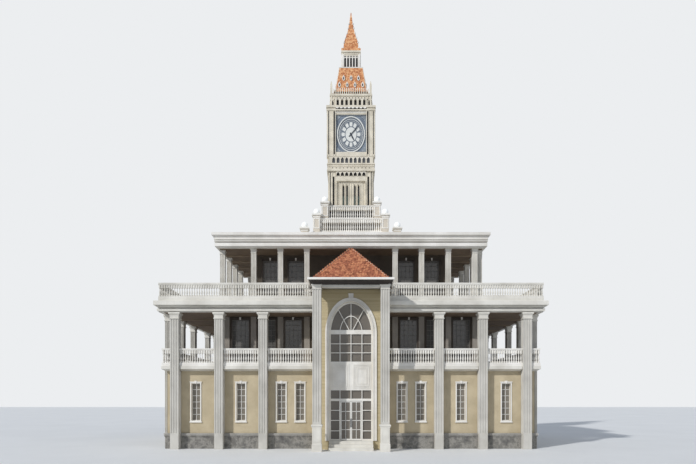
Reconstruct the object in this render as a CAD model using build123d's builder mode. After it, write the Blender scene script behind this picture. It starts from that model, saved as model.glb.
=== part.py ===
"""Library building with verandas on three storeys, an arched entrance bay and a clock tower.

Millimetres. X runs to the right along the front, Y runs back, Z up from the ground.
The origin is on the ground, on the centre line, in the plane of the front column faces.
"""

import math
import os

from build123d import *

# Levels
ground_floor_level = 500
base_height = 890
base_moulding_height = 200
deck_level = 4720
deck_thickness = 270
terrace_soffit = 7760
terrace_level = 8360
roof_soffit = 12000
roof_level = 12850

# Plan of the main block
block_depth = 13530
column_size = 520
front_column_x = (5000, 7500, 10000)
rear_column_x = (2500, 5000, 7500, 10000)
side_column_face = 10850
side_column_depth = 300
side_column_y = (1180, 3690, 6200, 9840, 12350)
ground_wall = 350
upper_wall = 300
joint = 0.5

# Verandas
second_wall_y = 1600
second_wall_x = 7550
third_wall_y = 3800
third_wall_x = 6000
third_column_size = 330
third_row_y = 2300
third_side_face = 8050
third_front_x = (2690, 4300, 5930)
third_corner_x = 7540
third_side_pitch = 1785

# Entrance bay
bay_half = 2100
bay_wall_front = -150
bay_wall_back = 150
bay_side_wall = 300
arch_half = 1230
arch_spring = 6550
arch_rise = 1780
trim_width = 220
trim_proud = 60
arch_keystone = (110, 150, 60, 460)
door_post_x = 600
door_post = 60
door_head = 2780
frame_bar = 90
frame_depth = 90
spandrel_bottom = 3380
spandrel_top = 4920
bay_top = 9040

# Portico
pillar_x = 1850
pillar_size = 470
pillar_front = -1450
pedestal_top = 1470
eave_half = 2315
eave_front = -1900
eave_bottom = 9040
eave_cove = 9130
eave_lip = 9210
eave_top = 9320
portico_roof_half = 2100
portico_roof_height = 2180
portico_upper_back = 2200

# Windows: width and height over the trim, sill level
window_trim = 60
window_proud = 45
ground_window = (630, 2260)
ground_sill = 1550
second_window = (1135, 2570)
second_sill = 5050
third_window = (1110, 2160)
third_sill = 9550
glass_thickness = 20
keystone = (150, 110, 150)
pilaster_x = (2620, 4190, 5790, 7385)
pilaster_wide = 330
pilaster_proud = 60

# Balustrades
baluster = 75
baluster_pitch = 440
rail_width = 160
gallery_plinth = 200
gallery_rail = 110
gallery_rail_top = 5730
parapet_plinth = 280
parapet_rail = 140
parapet_rail_top = 9400
parapet_inset = 80

# Podium and tower
tower_wall = 260
podium_step_half = (2450, 1800)
podium_step_top = (13450, 14450)
pier_size = 420
pier_centre = (2900, 2190, 1685)
pier_cap_top = (13550, 14630, 15590)
podium_rail_top = (14400, 15390)
podium_plinth = 120
podium_rail = 90
pier_cap = 140
pier_cap_wider = 60
ball_radius = 185
ball_lift = 0.85
shaft_half = 1440
shaft_top = 17720
band_half = 1520
band_top = 18150
ledge_half = 1565
ledge_height = 120
arcade_half = 1450
arcade_bottom = 18230
stage_bottom = 18660
stage_top = 21970
stage_half = 1550
dial_centre = 20130
dial_rx = 880
dial_ry = 1147
dial_recess_half = 1000
dial_recess_depth = 120
belfry_half = 1330
belfry_top = 22830
tile_roof_half = (1220, 1020, 765)
tile_roof_levels = (belfry_top, 23250, 24900)
tile_roof_top = 24970
lantern_half = 610
lantern_top = 26150
spire_foot = 26300
spire_shape = ((510, spire_foot), (455, 26800), (310, 27330), (215, 27680), (140, 28140), (85, 28440),
               (55, 28760), (25, 29100))

row_back = block_depth - column_size
third_row_back = third_row_y + 4 * third_side_pitch + 2 * third_column_size
roof_centre_y = (third_row_y + third_row_back) / 2
tower_y = roof_centre_y
deck_underside = deck_level - deck_thickness

os.makedirs("parts", exist_ok=True)


# Faces of walls, as planes with X along the wall, Y up and Z outward
def front_face(y):
    return Plane(origin=(0, y, 0), x_dir=(1, 0, 0), z_dir=(0, -1, 0))


def rear_face(y):
    return Plane(origin=(0, y, 0), x_dir=(-1, 0, 0), z_dir=(0, 1, 0))


def left_face(x):
    return Plane(origin=(x, 0, 0), x_dir=(0, -1, 0), z_dir=(-1, 0, 0))


def right_face(x):
    return Plane(origin=(x, 0, 0), x_dir=(0, 1, 0), z_dir=(1, 0, 0))


def save(piece, name):
    piece.part.label = name
    export_step(piece.part, f"parts/{name}.step")


def rect(x0, y0, x1, y1, mode=Mode.ADD):
    """A rectangle between two corners, inside a BuildSketch block."""
    with Locations(((x0 + x1) / 2, (y0 + y1) / 2)):
        Rectangle(abs(x1 - x0), abs(y1 - y0), mode=mode)


def slab(x0, y0, x1, y1, z0, z1, mode=Mode.ADD):
    """A block between two corners and two levels, inside a BuildPart block."""
    with BuildSketch(Plane.XY.offset(z0)) as outline:
        rect(x0, y0, x1, y1)
    extrude(outline.sketch, amount=z1 - z0, mode=mode)


def taper(spots, z0, z1, foot, head, mode=Mode.ADD):
    """Blocks that taper from foot to head, each given by its half widths, inside a BuildPart block."""
    (foot_x, foot_y), (head_x, head_y) = foot, head
    with Locations(*[(x, y, z0) for x, y in spots]):
        Wedge(2 * foot_x, z1 - z0, 2 * foot_y, foot_x - head_x, foot_y - head_y, foot_x + head_x,
              foot_y + head_y, rotation=(90, 0, 0), align=(Align.CENTER, Align.MIN, Align.CENTER), mode=mode)


def holes(face, spots, sill, size, depth):
    """Cuts window openings through a wall, inside a BuildPart block."""
    wide, high = size
    with BuildSketch(face) as row:
        with Locations(*[(u, sill + high / 2) for u in spots]):
            Rectangle(wide - 2 * window_trim, high - 2 * window_trim)
    extrude(row.sketch, amount=-depth, mode=Mode.SUBTRACT)


def casings(face, spots, sill, size):
    """Window trims with keystones on a wall face, inside a BuildPart block."""
    wide, high = size
    top_half, foot_half, stone_high = keystone[0] / 2, keystone[1] / 2, keystone[2]
    with BuildSketch(face) as row:
        for u in spots:
            rect(u - wide / 2, sill, u + wide / 2, sill + high)
            with BuildLine():
                Polyline(
                    (u - foot_half, sill + high - window_trim),
                    (u + foot_half, sill + high - window_trim),
                    (u + top_half, sill + high - window_trim + stone_high),
                    (u - top_half, sill + high - window_trim + stone_high),
                    close=True,
                )
            make_face()
            inside = window_trim
            rect(u - wide / 2 + inside, sill + inside, u + wide / 2 - inside,
                 sill + high - inside, mode=Mode.SUBTRACT)
    extrude(row.sketch, amount=window_proud)


def panes(face, spots, sill, size, wall):
    """Sheets of glass in the middle of a wall's openings, inside a BuildPart block."""
    wide, high = size
    with BuildSketch(face.offset(-wall / 2)) as row:
        with Locations(*[(u, sill + high / 2) for u in spots]):
            Rectangle(wide - 2 * window_trim, high - 2 * window_trim)
    extrude(row.sketch, amount=-glass_thickness)


def spread(first, last, count):
    return [first + (last - first) * i / (count - 1) for i in range(count)]


def both(values):
    return [-value for value in values] + list(values)


# Window rows of each storey: positions along each wall face
ground_front_spots = both((2930, 4010, 6330, 8920))
ground_rear_spots = both((3750, 6250, 8750)) + [-600, 600]
ground_side_spots = [2435, 4945, 7350, 8690, 11095]
second_front_spots = both((3440, 5000, 6580))
second_rear_spots = both((1720, 3440, 5000, 6580)) + [0]
second_side_spots = spread(3100, block_depth - 3100, 5)
third_front_spots = both((3500, 5130))
third_rear_spots = both((1750, 3500, 5130)) + [0]
third_back_y = third_row_y + third_row_back - third_wall_y
third_side_spots = spread(5000, third_row_y + third_row_back - 5000, 2)
second_back_y = block_depth - second_wall_y
ground_back_y = row_back
wall_side = side_column_face - side_column_depth

STOREYS = (
    (ground_window, ground_sill, ground_wall, column_size, ground_back_y, wall_side,
     ground_front_spots, ground_rear_spots, ground_side_spots),
    (second_window, second_sill, upper_wall, second_wall_y, second_back_y, second_wall_x,
     second_front_spots, second_rear_spots, second_side_spots),
    (third_window, third_sill, upper_wall, third_wall_y, third_back_y, third_wall_x,
     third_front_spots, third_rear_spots, third_side_spots),
)


def cut_windows(storey):
    """Cuts all openings of one storey, inside a BuildPart block."""
    size, sill, wall, front, back, side, front_row, rear_row, side_row = storey
    through = wall + 10
    holes(front_face(front - 5), front_row, sill, size, through)
    holes(rear_face(back + 5), rear_row, sill, size, through)
    holes(right_face(side + 5), side_row, sill, size, through)
    holes(left_face(-side - 5), [-u for u in side_row], sill, size, through)


def storey_walls(name, z0, z1, storey, gap=0):
    """Four walls of a storey that meet at the corners, with a gap in the front for the bay."""
    wall, front, back, side = storey[2:6]
    inner = side - wall - joint
    with BuildPart() as walls:
        for s in (-1, 1):
            slab(s * (side - wall), front, s * side, back, z0, z1)
            if gap:
                slab(s * gap, front, s * inner, front + wall, z0, z1)
        if not gap:
            slab(-inner, front, inner, front + wall, z0, z1)
        slab(-inner, back - wall, inner, back, z0, z1)
        cut_windows(storey)
    save(walls, name)


storey_walls("ground_walls", base_height, deck_underside, STOREYS[0], gap=bay_half)
storey_walls("second_floor_walls", deck_level, terrace_soffit, STOREYS[1], gap=bay_half)
storey_walls("third_floor_walls", terrace_level, roof_soffit, STOREYS[2])

# Casings and glass of all the windows
with BuildPart() as window_trims:
    for row in STOREYS:
        row_size, row_sill, row_wall, row_front, row_rear, row_side = row[:6]
        casings(front_face(row_front), row[6], row_sill, row_size)
        casings(rear_face(row_rear), row[7], row_sill, row_size)
        casings(right_face(row_side), row[8], row_sill, row_size)
        casings(left_face(-row_side), [-u for u in row[8]], row_sill, row_size)
save(window_trims, "window_trims")

with BuildPart() as window_glass:
    for row in STOREYS:
        row_size, row_sill, row_wall, row_front, row_rear, row_side = row[:6]
        panes(front_face(row_front), row[6], row_sill, row_size, row_wall)
        panes(rear_face(row_rear), row[7], row_sill, row_size, row_wall)
        panes(right_face(row_side), row[8], row_sill, row_size, row_wall)
        panes(left_face(-row_side), [-u for u in row[8]], row_sill, row_size, row_wall)
save(window_glass, "window_glass")

# Columns
front_spots = [(x, column_size / 2) for x in both(front_column_x)]
rear_spots = [(x, block_depth - column_size / 2) for x in both(rear_column_x)]
side_centre = side_column_face - side_column_depth / 2
side_spots = [(s * side_centre, y) for s in (-1, 1) for y in side_column_y]


def column_course(spots, wide, deep, z0, z1):
    """One course of a row of columns, inside a BuildPart block."""
    with BuildSketch(Plane.XY.offset(z0)) as course:
        with Locations(*spots):
            Rectangle(wide, deep)
    extrude(course.sketch, amount=z1 - z0)


def capital(spots, wide, deep, top, high, spread_out):
    """Capitals with a neck band, a flared bell and an abacus, inside a BuildPart block."""
    neck_top, bell_foot, bell_top = top - 0.87 * high, top - 0.66 * high, top - 0.24 * high
    flare = 0.8 * spread_out
    column_course(spots, wide + spread_out, deep + spread_out, top - high, neck_top)
    taper(spots, bell_foot, bell_top, (wide / 2, deep / 2), (wide / 2 + flare, deep / 2 + flare))
    column_course(spots, wide + 2 * spread_out, deep + 2 * spread_out, bell_top, top)


def flutes(spots, wide, deep, z0, z1):
    """Round grooves up the four faces of square shafts, inside a BuildPart block."""
    step_x, step_y = wide / (flute_count + 1), deep / (flute_count + 1)
    along = [i - (flute_count - 1) / 2 for i in range(flute_count)]
    with BuildSketch(Plane.XY.offset(z0)) as grooves:
        for x, y in spots:
            with Locations(*[(x + step_x * i, y + s * deep / 2) for i in along for s in (-1, 1)],
                           *[(x + s * wide / 2, y + step_y * i) for i in along for s in (-1, 1)]):
                Circle(flute_radius)
    extrude(grooves.sketch, amount=z1 - z0, mode=Mode.SUBTRACT)


flute_count = 3
flute_radius = 26
flute_margin = 60
capital_height = 450
capital_spread = 70
flute_top = terrace_soffit - capital_height - flute_margin
with BuildPart() as giant_columns:
    column_course(front_spots + rear_spots, column_size, column_size, 0, terrace_soffit)
    flutes(front_spots + rear_spots, column_size, column_size, base_height + flute_margin, flute_top)
    capital(front_spots + rear_spots, column_size, column_size, terrace_soffit, capital_height,
            capital_spread)
save(giant_columns, "giant_columns")

with BuildPart() as side_columns:
    column_course(side_spots, side_column_depth, column_size, 0, terrace_soffit)
    capital(side_spots, side_column_depth, column_size, terrace_soffit, capital_height, capital_spread)
save(side_columns, "side_columns")

third_size = third_column_size
third_side_y = [third_row_y + third_size * 1.5 + 20 + third_side_pitch * i for i in range(4)]
third_centre = third_side_face - third_size / 2
third_spots = [(x, third_row_y + third_size / 2) for x in both(third_front_x)]
third_spots += [(third_corner_x, third_row_y + third_size / 2)]
third_spots += [(x, third_row_back - third_size / 2)
                for x in both((900,) + third_front_x + (third_corner_x,))]
third_spots += [(s * third_centre, y) for s in (-1, 1) for y in third_side_y]
third_capital_height = 260
third_capital_spread = 45
with BuildPart() as third_columns:
    column_course(third_spots, third_size, third_size, terrace_level, roof_soffit)
    capital(third_spots, third_size, third_size, roof_soffit, third_capital_height, third_capital_spread)
save(third_columns, "third_floor_columns")

# Stone base under the ground floor walls
base_proud = 100
base_cap_proud = 140
with BuildPart() as stone_base:
    for level, top, proud in ((0, base_height - base_moulding_height, base_proud),
                              (base_height - base_moulding_height, base_height, base_cap_proud)):
        outer = wall_side + proud
        inner = wall_side - ground_wall - joint
        for s in (-1, 1):
            slab(s * (inner + joint), column_size - proud, s * outer, row_back + proud, level, top)
            slab(s * bay_half, column_size - proud, s * inner, column_size + ground_wall, level, top)
        slab(-inner, row_back - ground_wall, inner, row_back + proud, level, top)
    with BuildSketch(Plane.XY):
        with Locations(*(front_spots + rear_spots)):
            Rectangle(column_size, column_size)
        with Locations(*side_spots):
            Rectangle(side_column_depth, column_size)
    extrude(amount=base_height, mode=Mode.SUBTRACT)
save(stone_base, "stone_base")

floor_thickness = 200
with BuildPart() as ground_floor:
    inner = wall_side - ground_wall
    slab(-inner, column_size + ground_wall, inner, row_back - ground_wall,
         ground_floor_level - floor_thickness, ground_floor_level)
    inside = bay_half - bay_side_wall
    slab(-inside, bay_wall_back, inside, column_size + ground_wall,
         ground_floor_level - floor_thickness, ground_floor_level)
save(ground_floor, "ground_floor")

# Second floor deck with its ledge and cove, cut for the columns that pass through it
deck_ledge = 170
deck_out = 120
cove_foot = 90
ledge_lip = 20
with BuildPart() as deck:
    slab(-wall_side, column_size, wall_side, row_back, deck_underside, deck_level)
    ledge_x = side_column_face - deck_out / 2
    slab(-ledge_x, deck_out, ledge_x, block_depth - deck_out, deck_level - deck_ledge, deck_level)
    taper([(0, block_depth / 2)], deck_underside, deck_level - deck_ledge,
          (wall_side + cove_foot, row_back - block_depth / 2 + cove_foot),
          (ledge_x - ledge_lip, block_depth / 2 - deck_out - ledge_lip))
    slab(-bay_half, 0, bay_half, bay_wall_back, deck_underside, deck_level, mode=Mode.SUBTRACT)
    with BuildSketch(Plane.XY.offset(deck_underside)):
        with Locations(*(front_spots + rear_spots)):
            Rectangle(column_size, column_size)
        with Locations(*side_spots):
            Rectangle(side_column_depth, column_size)
    extrude(amount=deck_thickness, mode=Mode.SUBTRACT)
save(deck, "second_floor_deck")

# Pilasters on the second floor walls
window_step = second_side_spots[1] - second_side_spots[0]
pilaster_y = spread(second_side_spots[0] - window_step / 2, second_side_spots[-1] + window_step / 2, 6)
with BuildPart() as pilasters:
    for face, spots in (
        (front_face(second_wall_y), both(pilaster_x)),
        (rear_face(second_back_y), both(pilaster_x)),
        (right_face(second_wall_x), pilaster_y),
        (left_face(-second_wall_x), [-y for y in pilaster_y]),
    ):
        with BuildSketch(face):
            with Locations(*[(u, (deck_level + terrace_soffit) / 2) for u in spots]):
                Rectangle(pilaster_wide, terrace_soffit - deck_level)
        extrude(amount=pilaster_proud)
save(pilasters, "second_floor_pilasters")

# Terrace slab with its entablature: band, cove and ledge
side_out = 200
front_out = 400
with BuildPart() as terrace:
    for foot_out, head_out, foot_level, head_level in (
        ((20, 20), (20, 20), 0, 110),
        ((50, 60), (50, 60), 110, 145),
        ((60, 80), (105, 160), 145, 270),
        ((105, 160), (155, 310), 270, 345),
        ((side_out, front_out), (side_out, front_out), 345, 540),
        ((side_out, front_out), (side_out - 20, front_out - 30), 540, terrace_level - terrace_soffit),
    ):
        taper([(0, block_depth / 2)], terrace_soffit + foot_level, terrace_soffit + head_level,
              (side_column_face + foot_out[0], block_depth / 2 + foot_out[1]),
              (side_column_face + head_out[0], block_depth / 2 + head_out[1]))
    slab(-bay_half, -front_out, bay_half, bay_wall_back, terrace_soffit, terrace_level,
         mode=Mode.SUBTRACT)
save(terrace, "terrace_entablature")

# Main roof with its stepped cornice
roof_half = 8370
roof_front = 1800
roof_back = third_row_y + third_row_back - roof_front
with BuildPart() as main_roof:
    for foot_in, head_in, foot_level, head_level in (
        (270, 270, 0, 270),
        (310, 310, 270, 330),
        (280, 230, 330, 440),
        (230, 130, 440, 520),
        (100, 100, 520, 600),
        (80, 0, 600, 700),
        (0, 0, 700, roof_level - roof_soffit),
    ):
        taper([(0, roof_centre_y)], roof_soffit + foot_level, roof_soffit + head_level,
              (roof_half - foot_in, roof_back - roof_centre_y - foot_in),
              (roof_half - head_in, roof_back - roof_centre_y - head_in))
save(main_roof, "main_roof")


# Balustrades: straight runs given by their two ends
def strip(run, width):
    """A rectangle along a run, inside a BuildSketch block."""
    (x0, y0), (x1, y1) = run
    if y0 == y1:
        rect(x0, y0 - width / 2, x1, y0 + width / 2)
    else:
        rect(x0 - width / 2, y0, x0 + width / 2, y1)


def baluster_places(run):
    (x0, y0), (x1, y1) = run
    count = max(2, round((abs(x1 - x0) + abs(y1 - y0)) / baluster_pitch))
    return [(x0 + (x1 - x0) * (i + 0.5) / count, y0 + (y1 - y0) * (i + 0.5) / count)
            for i in range(count)]


def balustrade(runs, z0, z1, plinth, rail, corner_runs=(), corner_spots=()):
    """Plinth, balusters and hand rail, inside a BuildPart block. Corner runs have only the spots given."""
    for low, high in ((z0, z0 + plinth), (z1 - rail, z1)):
        with BuildSketch(Plane.XY.offset(low)) as strips:
            for run in runs + list(corner_runs):
                strip(run, rail_width)
        extrude(strips.sketch, amount=high - low)
    with BuildSketch(Plane.XY.offset(z0 + plinth)) as feet:
        with Locations(*[spot for run in runs for spot in baluster_places(run)], *corner_spots):
            Rectangle(baluster, baluster)
    extrude(feet.sketch, amount=z1 - rail - z0 - plinth)


half_column = column_size / 2
gallery_runs = []
for s in (-1, 1):
    for y, edges in ((half_column, (bay_half,) + front_column_x),
                     (block_depth - half_column, (-1,) + rear_column_x)):
        for near, far in zip(edges, edges[1:]):
            if near == -1:
                continue
            start = near if near == bay_half else near + half_column
            gallery_runs.append(((s * start, y), (s * (far - half_column), y)))
    for near, far in zip(side_column_y, side_column_y[1:]):
        gallery_runs.append(((s * side_centre, near + half_column), (s * side_centre, far - half_column)))
rear_inner = rear_column_x[0] - half_column
gallery_runs.append(((-rear_inner, block_depth - half_column), (rear_inner, block_depth - half_column)))
corner_runs = []
corner_spots = []
for s in (-1, 1):
    for y, side_y in ((half_column, side_column_y[0] - half_column),
                      (block_depth - half_column, side_column_y[-1] + half_column)):
        outside = y + math.copysign(rail_width / 2, y - side_y)
        corner_runs.append(((s * (front_column_x[-1] + half_column), y),
                            (s * (side_centre + rail_width / 2), y)))
        corner_runs.append(((s * side_centre, side_y), (s * side_centre, outside)))
        corner_spots.append((s * side_centre, y))
with BuildPart() as gallery_balustrades:
    balustrade(gallery_runs, deck_level, gallery_rail_top, gallery_plinth, gallery_rail, corner_runs,
               corner_spots)
save(gallery_balustrades, "gallery_balustrades")

eave_gap = 50
parapet_x = side_column_face - parapet_inset
parapet_front = -parapet_inset
parapet_back = block_depth + parapet_inset
parapet_ends = parapet_x - rail_width / 2 - joint
with BuildPart() as terrace_parapet:
    side_front, side_back = parapet_front - rail_width / 2, parapet_back + rail_width / 2
    balustrade([((-parapet_ends, parapet_front), (-eave_half - eave_gap, parapet_front)),
                ((eave_half + eave_gap, parapet_front), (parapet_ends, parapet_front)),
                ((-parapet_ends, parapet_back), (parapet_ends, parapet_back)),
                ((-parapet_x, side_front), (-parapet_x, side_back)),
                ((parapet_x, side_front), (parapet_x, side_back))],
               terrace_level, parapet_rail_top, parapet_plinth, parapet_rail)
save(terrace_parapet, "terrace_parapet")

# Entrance bay: front wall in two piers and an arched head, side walls, upper walls
with BuildPart() as entrance_piers:
    for s in (-1, 1):
        slab(s * arch_half, bay_wall_front, s * bay_half, bay_wall_back, 0, arch_spring)
save(entrance_piers, "entrance_piers")


def arch_face(half, rise, foot, spring):
    """An opening with straight sides and a half-elliptic head, inside a BuildSketch block."""
    with BuildLine() as outline:
        Line((-half, foot), (half, foot))
        Line((half, foot), (half, spring))
        EllipticalCenterArc((0, spring), half, rise, start_angle=0, arc_size=180)
        Line((-half, spring), (-half, foot))
    make_face(outline.line)


def arch_head(half, rise, spring, mode=Mode.ADD):
    """The half-elliptic head alone, inside a BuildSketch block."""
    with BuildLine() as outline:
        Line((-half, spring), (half, spring))
        EllipticalCenterArc((0, spring), half, rise, start_angle=0, arc_size=180)
    make_face(outline.line, mode=mode)


with BuildPart() as arch_wall:
    with BuildSketch(front_face(bay_wall_front)):
        rect(-bay_half, arch_spring, bay_half, bay_top)
        arch_head(arch_half, arch_rise, arch_spring, mode=Mode.SUBTRACT)
    extrude(amount=-(bay_wall_back - bay_wall_front))
save(arch_wall, "entrance_arch_wall")

with BuildPart() as arch_trim:
    with BuildSketch(front_face(bay_wall_front)):
        outer_half = arch_half + trim_width
        with BuildLine():
            Line((-outer_half, ground_floor_level), (-arch_half, ground_floor_level))
            Line((-arch_half, ground_floor_level), (-arch_half, arch_spring))
            EllipticalCenterArc((0, arch_spring), arch_half, arch_rise, start_angle=0, arc_size=180)
            Line((arch_half, arch_spring), (arch_half, ground_floor_level))
            Line((arch_half, ground_floor_level), (outer_half, ground_floor_level))
            Line((outer_half, ground_floor_level), (outer_half, arch_spring))
            EllipticalCenterArc((0, arch_spring), outer_half, arch_rise + trim_width, start_angle=0,
                                arc_size=180)
            Line((-outer_half, arch_spring), (-outer_half, ground_floor_level))
        make_face()
        crown = arch_spring + arch_rise
        foot_half, top_half, stone_foot, stone_top = arch_keystone
        with BuildLine():
            Polyline((-foot_half, crown + stone_foot), (foot_half, crown + stone_foot),
                     (top_half, crown + stone_top), (-top_half, crown + stone_top), close=True)
        make_face()
    extrude(amount=trim_proud)
save(arch_trim, "arch_trim")

with BuildPart() as bay_walls:
    inside = bay_half - bay_side_wall
    for s in (-1, 1):
        slab(s * inside, bay_wall_back, s * bay_half, column_size + ground_wall, 0, deck_underside)
        slab(s * inside, bay_wall_back, s * bay_half, second_wall_y + upper_wall, deck_level,
             terrace_soffit)
        slab(s * inside, bay_wall_back, s * bay_half, portico_upper_back, terrace_level, bay_top)
    slab(-inside + joint, portico_upper_back - bay_side_wall, inside - joint, portico_upper_back,
         terrace_level, bay_top)
save(bay_walls, "entrance_side_walls")

# Entrance frame, spandrel and glass
frame_front = -frame_depth / 2
frame_plane = front_face(frame_front)
bar = 40
mullion_x = (-620, 0, 620)
sidelight_bars = (1050, 1640, 2210)
upper_bars = (5460, 5970)
transom_low, transom_high = arch_spring - 40, arch_spring + 200
fan_half, fan_rise = 650, 1000
fan_angle = 52


def spoke(angle, reach_x, reach_y):
    """A fanlight bar from the middle of the spring line to an ellipse, inside a BuildSketch block."""
    turn = math.radians(angle)
    x, y = reach_x * math.cos(turn), reach_y * math.sin(turn)
    length = math.hypot(x, y)
    across_x, across_y = -y / length * bar / 2, x / length * bar / 2
    with BuildLine() as outline:
        Polyline((across_x, arch_spring + across_y), (-across_x, arch_spring - across_y),
                 (x - across_x, arch_spring + y - across_y), (x + across_x, arch_spring + y + across_y),
                 close=True)
    make_face(outline.line)


with BuildPart() as sidelights:
    with BuildSketch(frame_plane):
        for s in (-1, 1):
            rect(s * door_post_x, ground_floor_level, s * arch_half, door_head)
            inside_near = door_post_x + door_post
            inside_far = arch_half - frame_bar
            rect(s * inside_near, ground_floor_level + frame_bar, s * inside_far,
                 door_head - frame_bar / 2, mode=Mode.SUBTRACT)
            for level in sidelight_bars:
                rect(s * inside_near, level - bar / 2, s * inside_far, level + bar / 2)
    extrude(amount=-frame_depth)
save(sidelights, "sidelights")

with BuildPart() as window_frame:
    with BuildSketch(frame_plane):
        rect(-arch_half, door_head, arch_half, spandrel_bottom)
        rect(-arch_half + frame_bar, door_head + frame_bar, arch_half - frame_bar, spandrel_bottom - bar,
             mode=Mode.SUBTRACT)
        for x in mullion_x:
            rect(x - bar / 2, door_head, x + bar / 2, spandrel_bottom)
    extrude(amount=-frame_depth)
    with BuildSketch(frame_plane):
        arch_face(arch_half, arch_rise, spandrel_top, arch_spring)
        rect(-arch_half + frame_bar, spandrel_top + bar, arch_half - frame_bar, arch_spring,
             mode=Mode.SUBTRACT)
        arch_head(arch_half - frame_bar, arch_rise - frame_bar, arch_spring, mode=Mode.SUBTRACT)
        arch_head(fan_half, fan_rise, arch_spring)
        arch_head(fan_half - bar, fan_rise - bar, arch_spring, mode=Mode.SUBTRACT)
        for angle in (fan_angle, 180 - fan_angle):
            spoke(angle, arch_half - frame_bar / 2, arch_rise - frame_bar / 2)
        for x in mullion_x:
            rect(x - bar / 2, spandrel_top, x + bar / 2, arch_spring)
        for level in upper_bars:
            rect(-arch_half, level - bar / 2, arch_half, level + bar / 2)
        transom_half = arch_half - frame_bar / 2
        rect(-transom_half, transom_low, transom_half, transom_high)
        rect(-bar / 2, arch_spring, bar / 2, arch_spring + arch_rise - bar)
    extrude(amount=-frame_depth)
save(window_frame, "entrance_window_frame")

spandrel_back = 60
panel_proud = 30
panel_rings = ((1000, 1340, Mode.ADD), (900, 1240, Mode.SUBTRACT), (820, 1160, Mode.ADD),
               (700, 1040, Mode.SUBTRACT), (560, 900, Mode.ADD), (480, 820, Mode.SUBTRACT))
with BuildPart() as spandrel:
    with BuildSketch(front_face(frame_front)):
        rect(-arch_half, spandrel_bottom, arch_half, spandrel_top)
    extrude(amount=-frame_depth - spandrel_back)
    for s in (-1, 1):
        with BuildSketch(front_face(frame_front)):
            with Locations((s * arch_half / 2, (spandrel_bottom + spandrel_top) / 2)):
                for wide, high, mode in panel_rings:
                    Rectangle(wide, high, mode=mode)
        extrude(amount=panel_proud)
save(spandrel, "spandrel_panel")

with BuildPart() as entrance_glass:
    glass_plane = front_face(frame_front + frame_depth)
    with BuildSketch(glass_plane):
        for s in (-1, 1):
            rect(s * door_post_x, ground_floor_level, s * arch_half, door_head - 1)
        rect(-arch_half, door_head, arch_half, spandrel_bottom)
        arch_face(arch_half, arch_rise, spandrel_top, arch_spring)
    extrude(amount=-glass_thickness)
save(entrance_glass, "entrance_glass")

# Entrance steps, under the doorway and in front of it
tread = 300
with BuildPart() as steps:
    rise = ground_floor_level / 3
    slab(-arch_half, bay_wall_front, arch_half, bay_wall_back, 0, ground_floor_level)
    for i in range(3):
        slab(-arch_half, bay_wall_front - (i + 1) * tread, arch_half, bay_wall_front, 0,
             ground_floor_level - i * rise)
save(steps, "entrance_steps")

# Entrance door: two glazed leaves hung on hinges at the posts, opening inward
leaf_gap = 12
leaf_thick = 50
leaf_wide = 583
leaf_front = -20
hinge_x = 590
hinge_y = leaf_front + leaf_thick + 10
knuckle_radius = 10
knuckle_high = 80
hinge_levels = (800, 1640, 2480)
stile = 55
top_rail = 60
bottom_rail = 90
leaf_bottom = ground_floor_level + leaf_gap
leaf_top = door_head - frame_bar / 2 - leaf_gap

for s, side in ((-1, "left"), (1, "right")):
    with BuildPart() as leaf:
        with BuildSketch(front_face(leaf_front)):
            rect(s * hinge_x, leaf_bottom, s * (hinge_x - leaf_wide), leaf_top)
            rect(s * (hinge_x - stile), leaf_bottom + bottom_rail,
                 s * (hinge_x - leaf_wide + stile), leaf_top - top_rail, mode=Mode.SUBTRACT)
        extrude(amount=-leaf_thick)
        for level in hinge_levels:
            with BuildSketch(Plane.XY.offset(level)):
                with Locations((s * hinge_x, hinge_y)):
                    Circle(knuckle_radius)
                rect(s * (hinge_x - 45), leaf_front + leaf_thick, s * hinge_x, hinge_y)
            extrude(amount=knuckle_high)
    save(leaf, f"{side}_door_leaf")
    with BuildPart() as leaf_glass:
        with BuildSketch(front_face(leaf_front + leaf_thick / 2 - 5)):
            rect(s * (hinge_x - stile), leaf_bottom + bottom_rail,
                 s * (hinge_x - leaf_wide + stile), leaf_top - top_rail)
        extrude(amount=-10)
    save(leaf_glass, f"{side}_door_glass")

with BuildPart() as door_hinges:
    for s in (-1, 1):
        for level in hinge_levels:
            with BuildSketch(Plane.XY.offset(level + knuckle_high + 0.3)):
                with Locations((s * hinge_x, hinge_y)):
                    Circle(knuckle_radius)
                rect(s * hinge_x, hinge_y - 3, s * door_post_x, hinge_y + 3)
            extrude(amount=knuckle_high)
    slab(-door_post_x, frame_front, door_post_x, frame_front + frame_depth - glass_thickness,
         door_head - frame_bar / 2, door_head)
save(door_hinges, "door_head_and_hinges")

# Portico: pillars on pedestals, beam, eaves and tiled pyramid roof
pillar_y = pillar_front + pillar_size / 2
pillar_spots = [(-pillar_x, pillar_y), (pillar_x, pillar_y)]
pedestal_block = 440
pedestal_cap = 130
pillar_capital = 260
pillar_spread = 60
with BuildPart() as pillars:
    for wider, z0, z1 in ((70, 0, pedestal_block), (20, pedestal_block, pedestal_top - pedestal_cap),
                          (130, pedestal_top - pedestal_cap, pedestal_top), (0, pedestal_top, eave_bottom)):
        column_course(pillar_spots, pillar_size + wider, pillar_size + wider, z0, z1)
    flutes(pillar_spots, pillar_size, pillar_size, pedestal_top + 2 * flute_margin,
           eave_bottom - pillar_capital - flute_margin)
    capital(pillar_spots, pillar_size, pillar_size, eave_bottom, pillar_capital, pillar_spread)
save(pillars, "portico_pillars")

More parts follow.
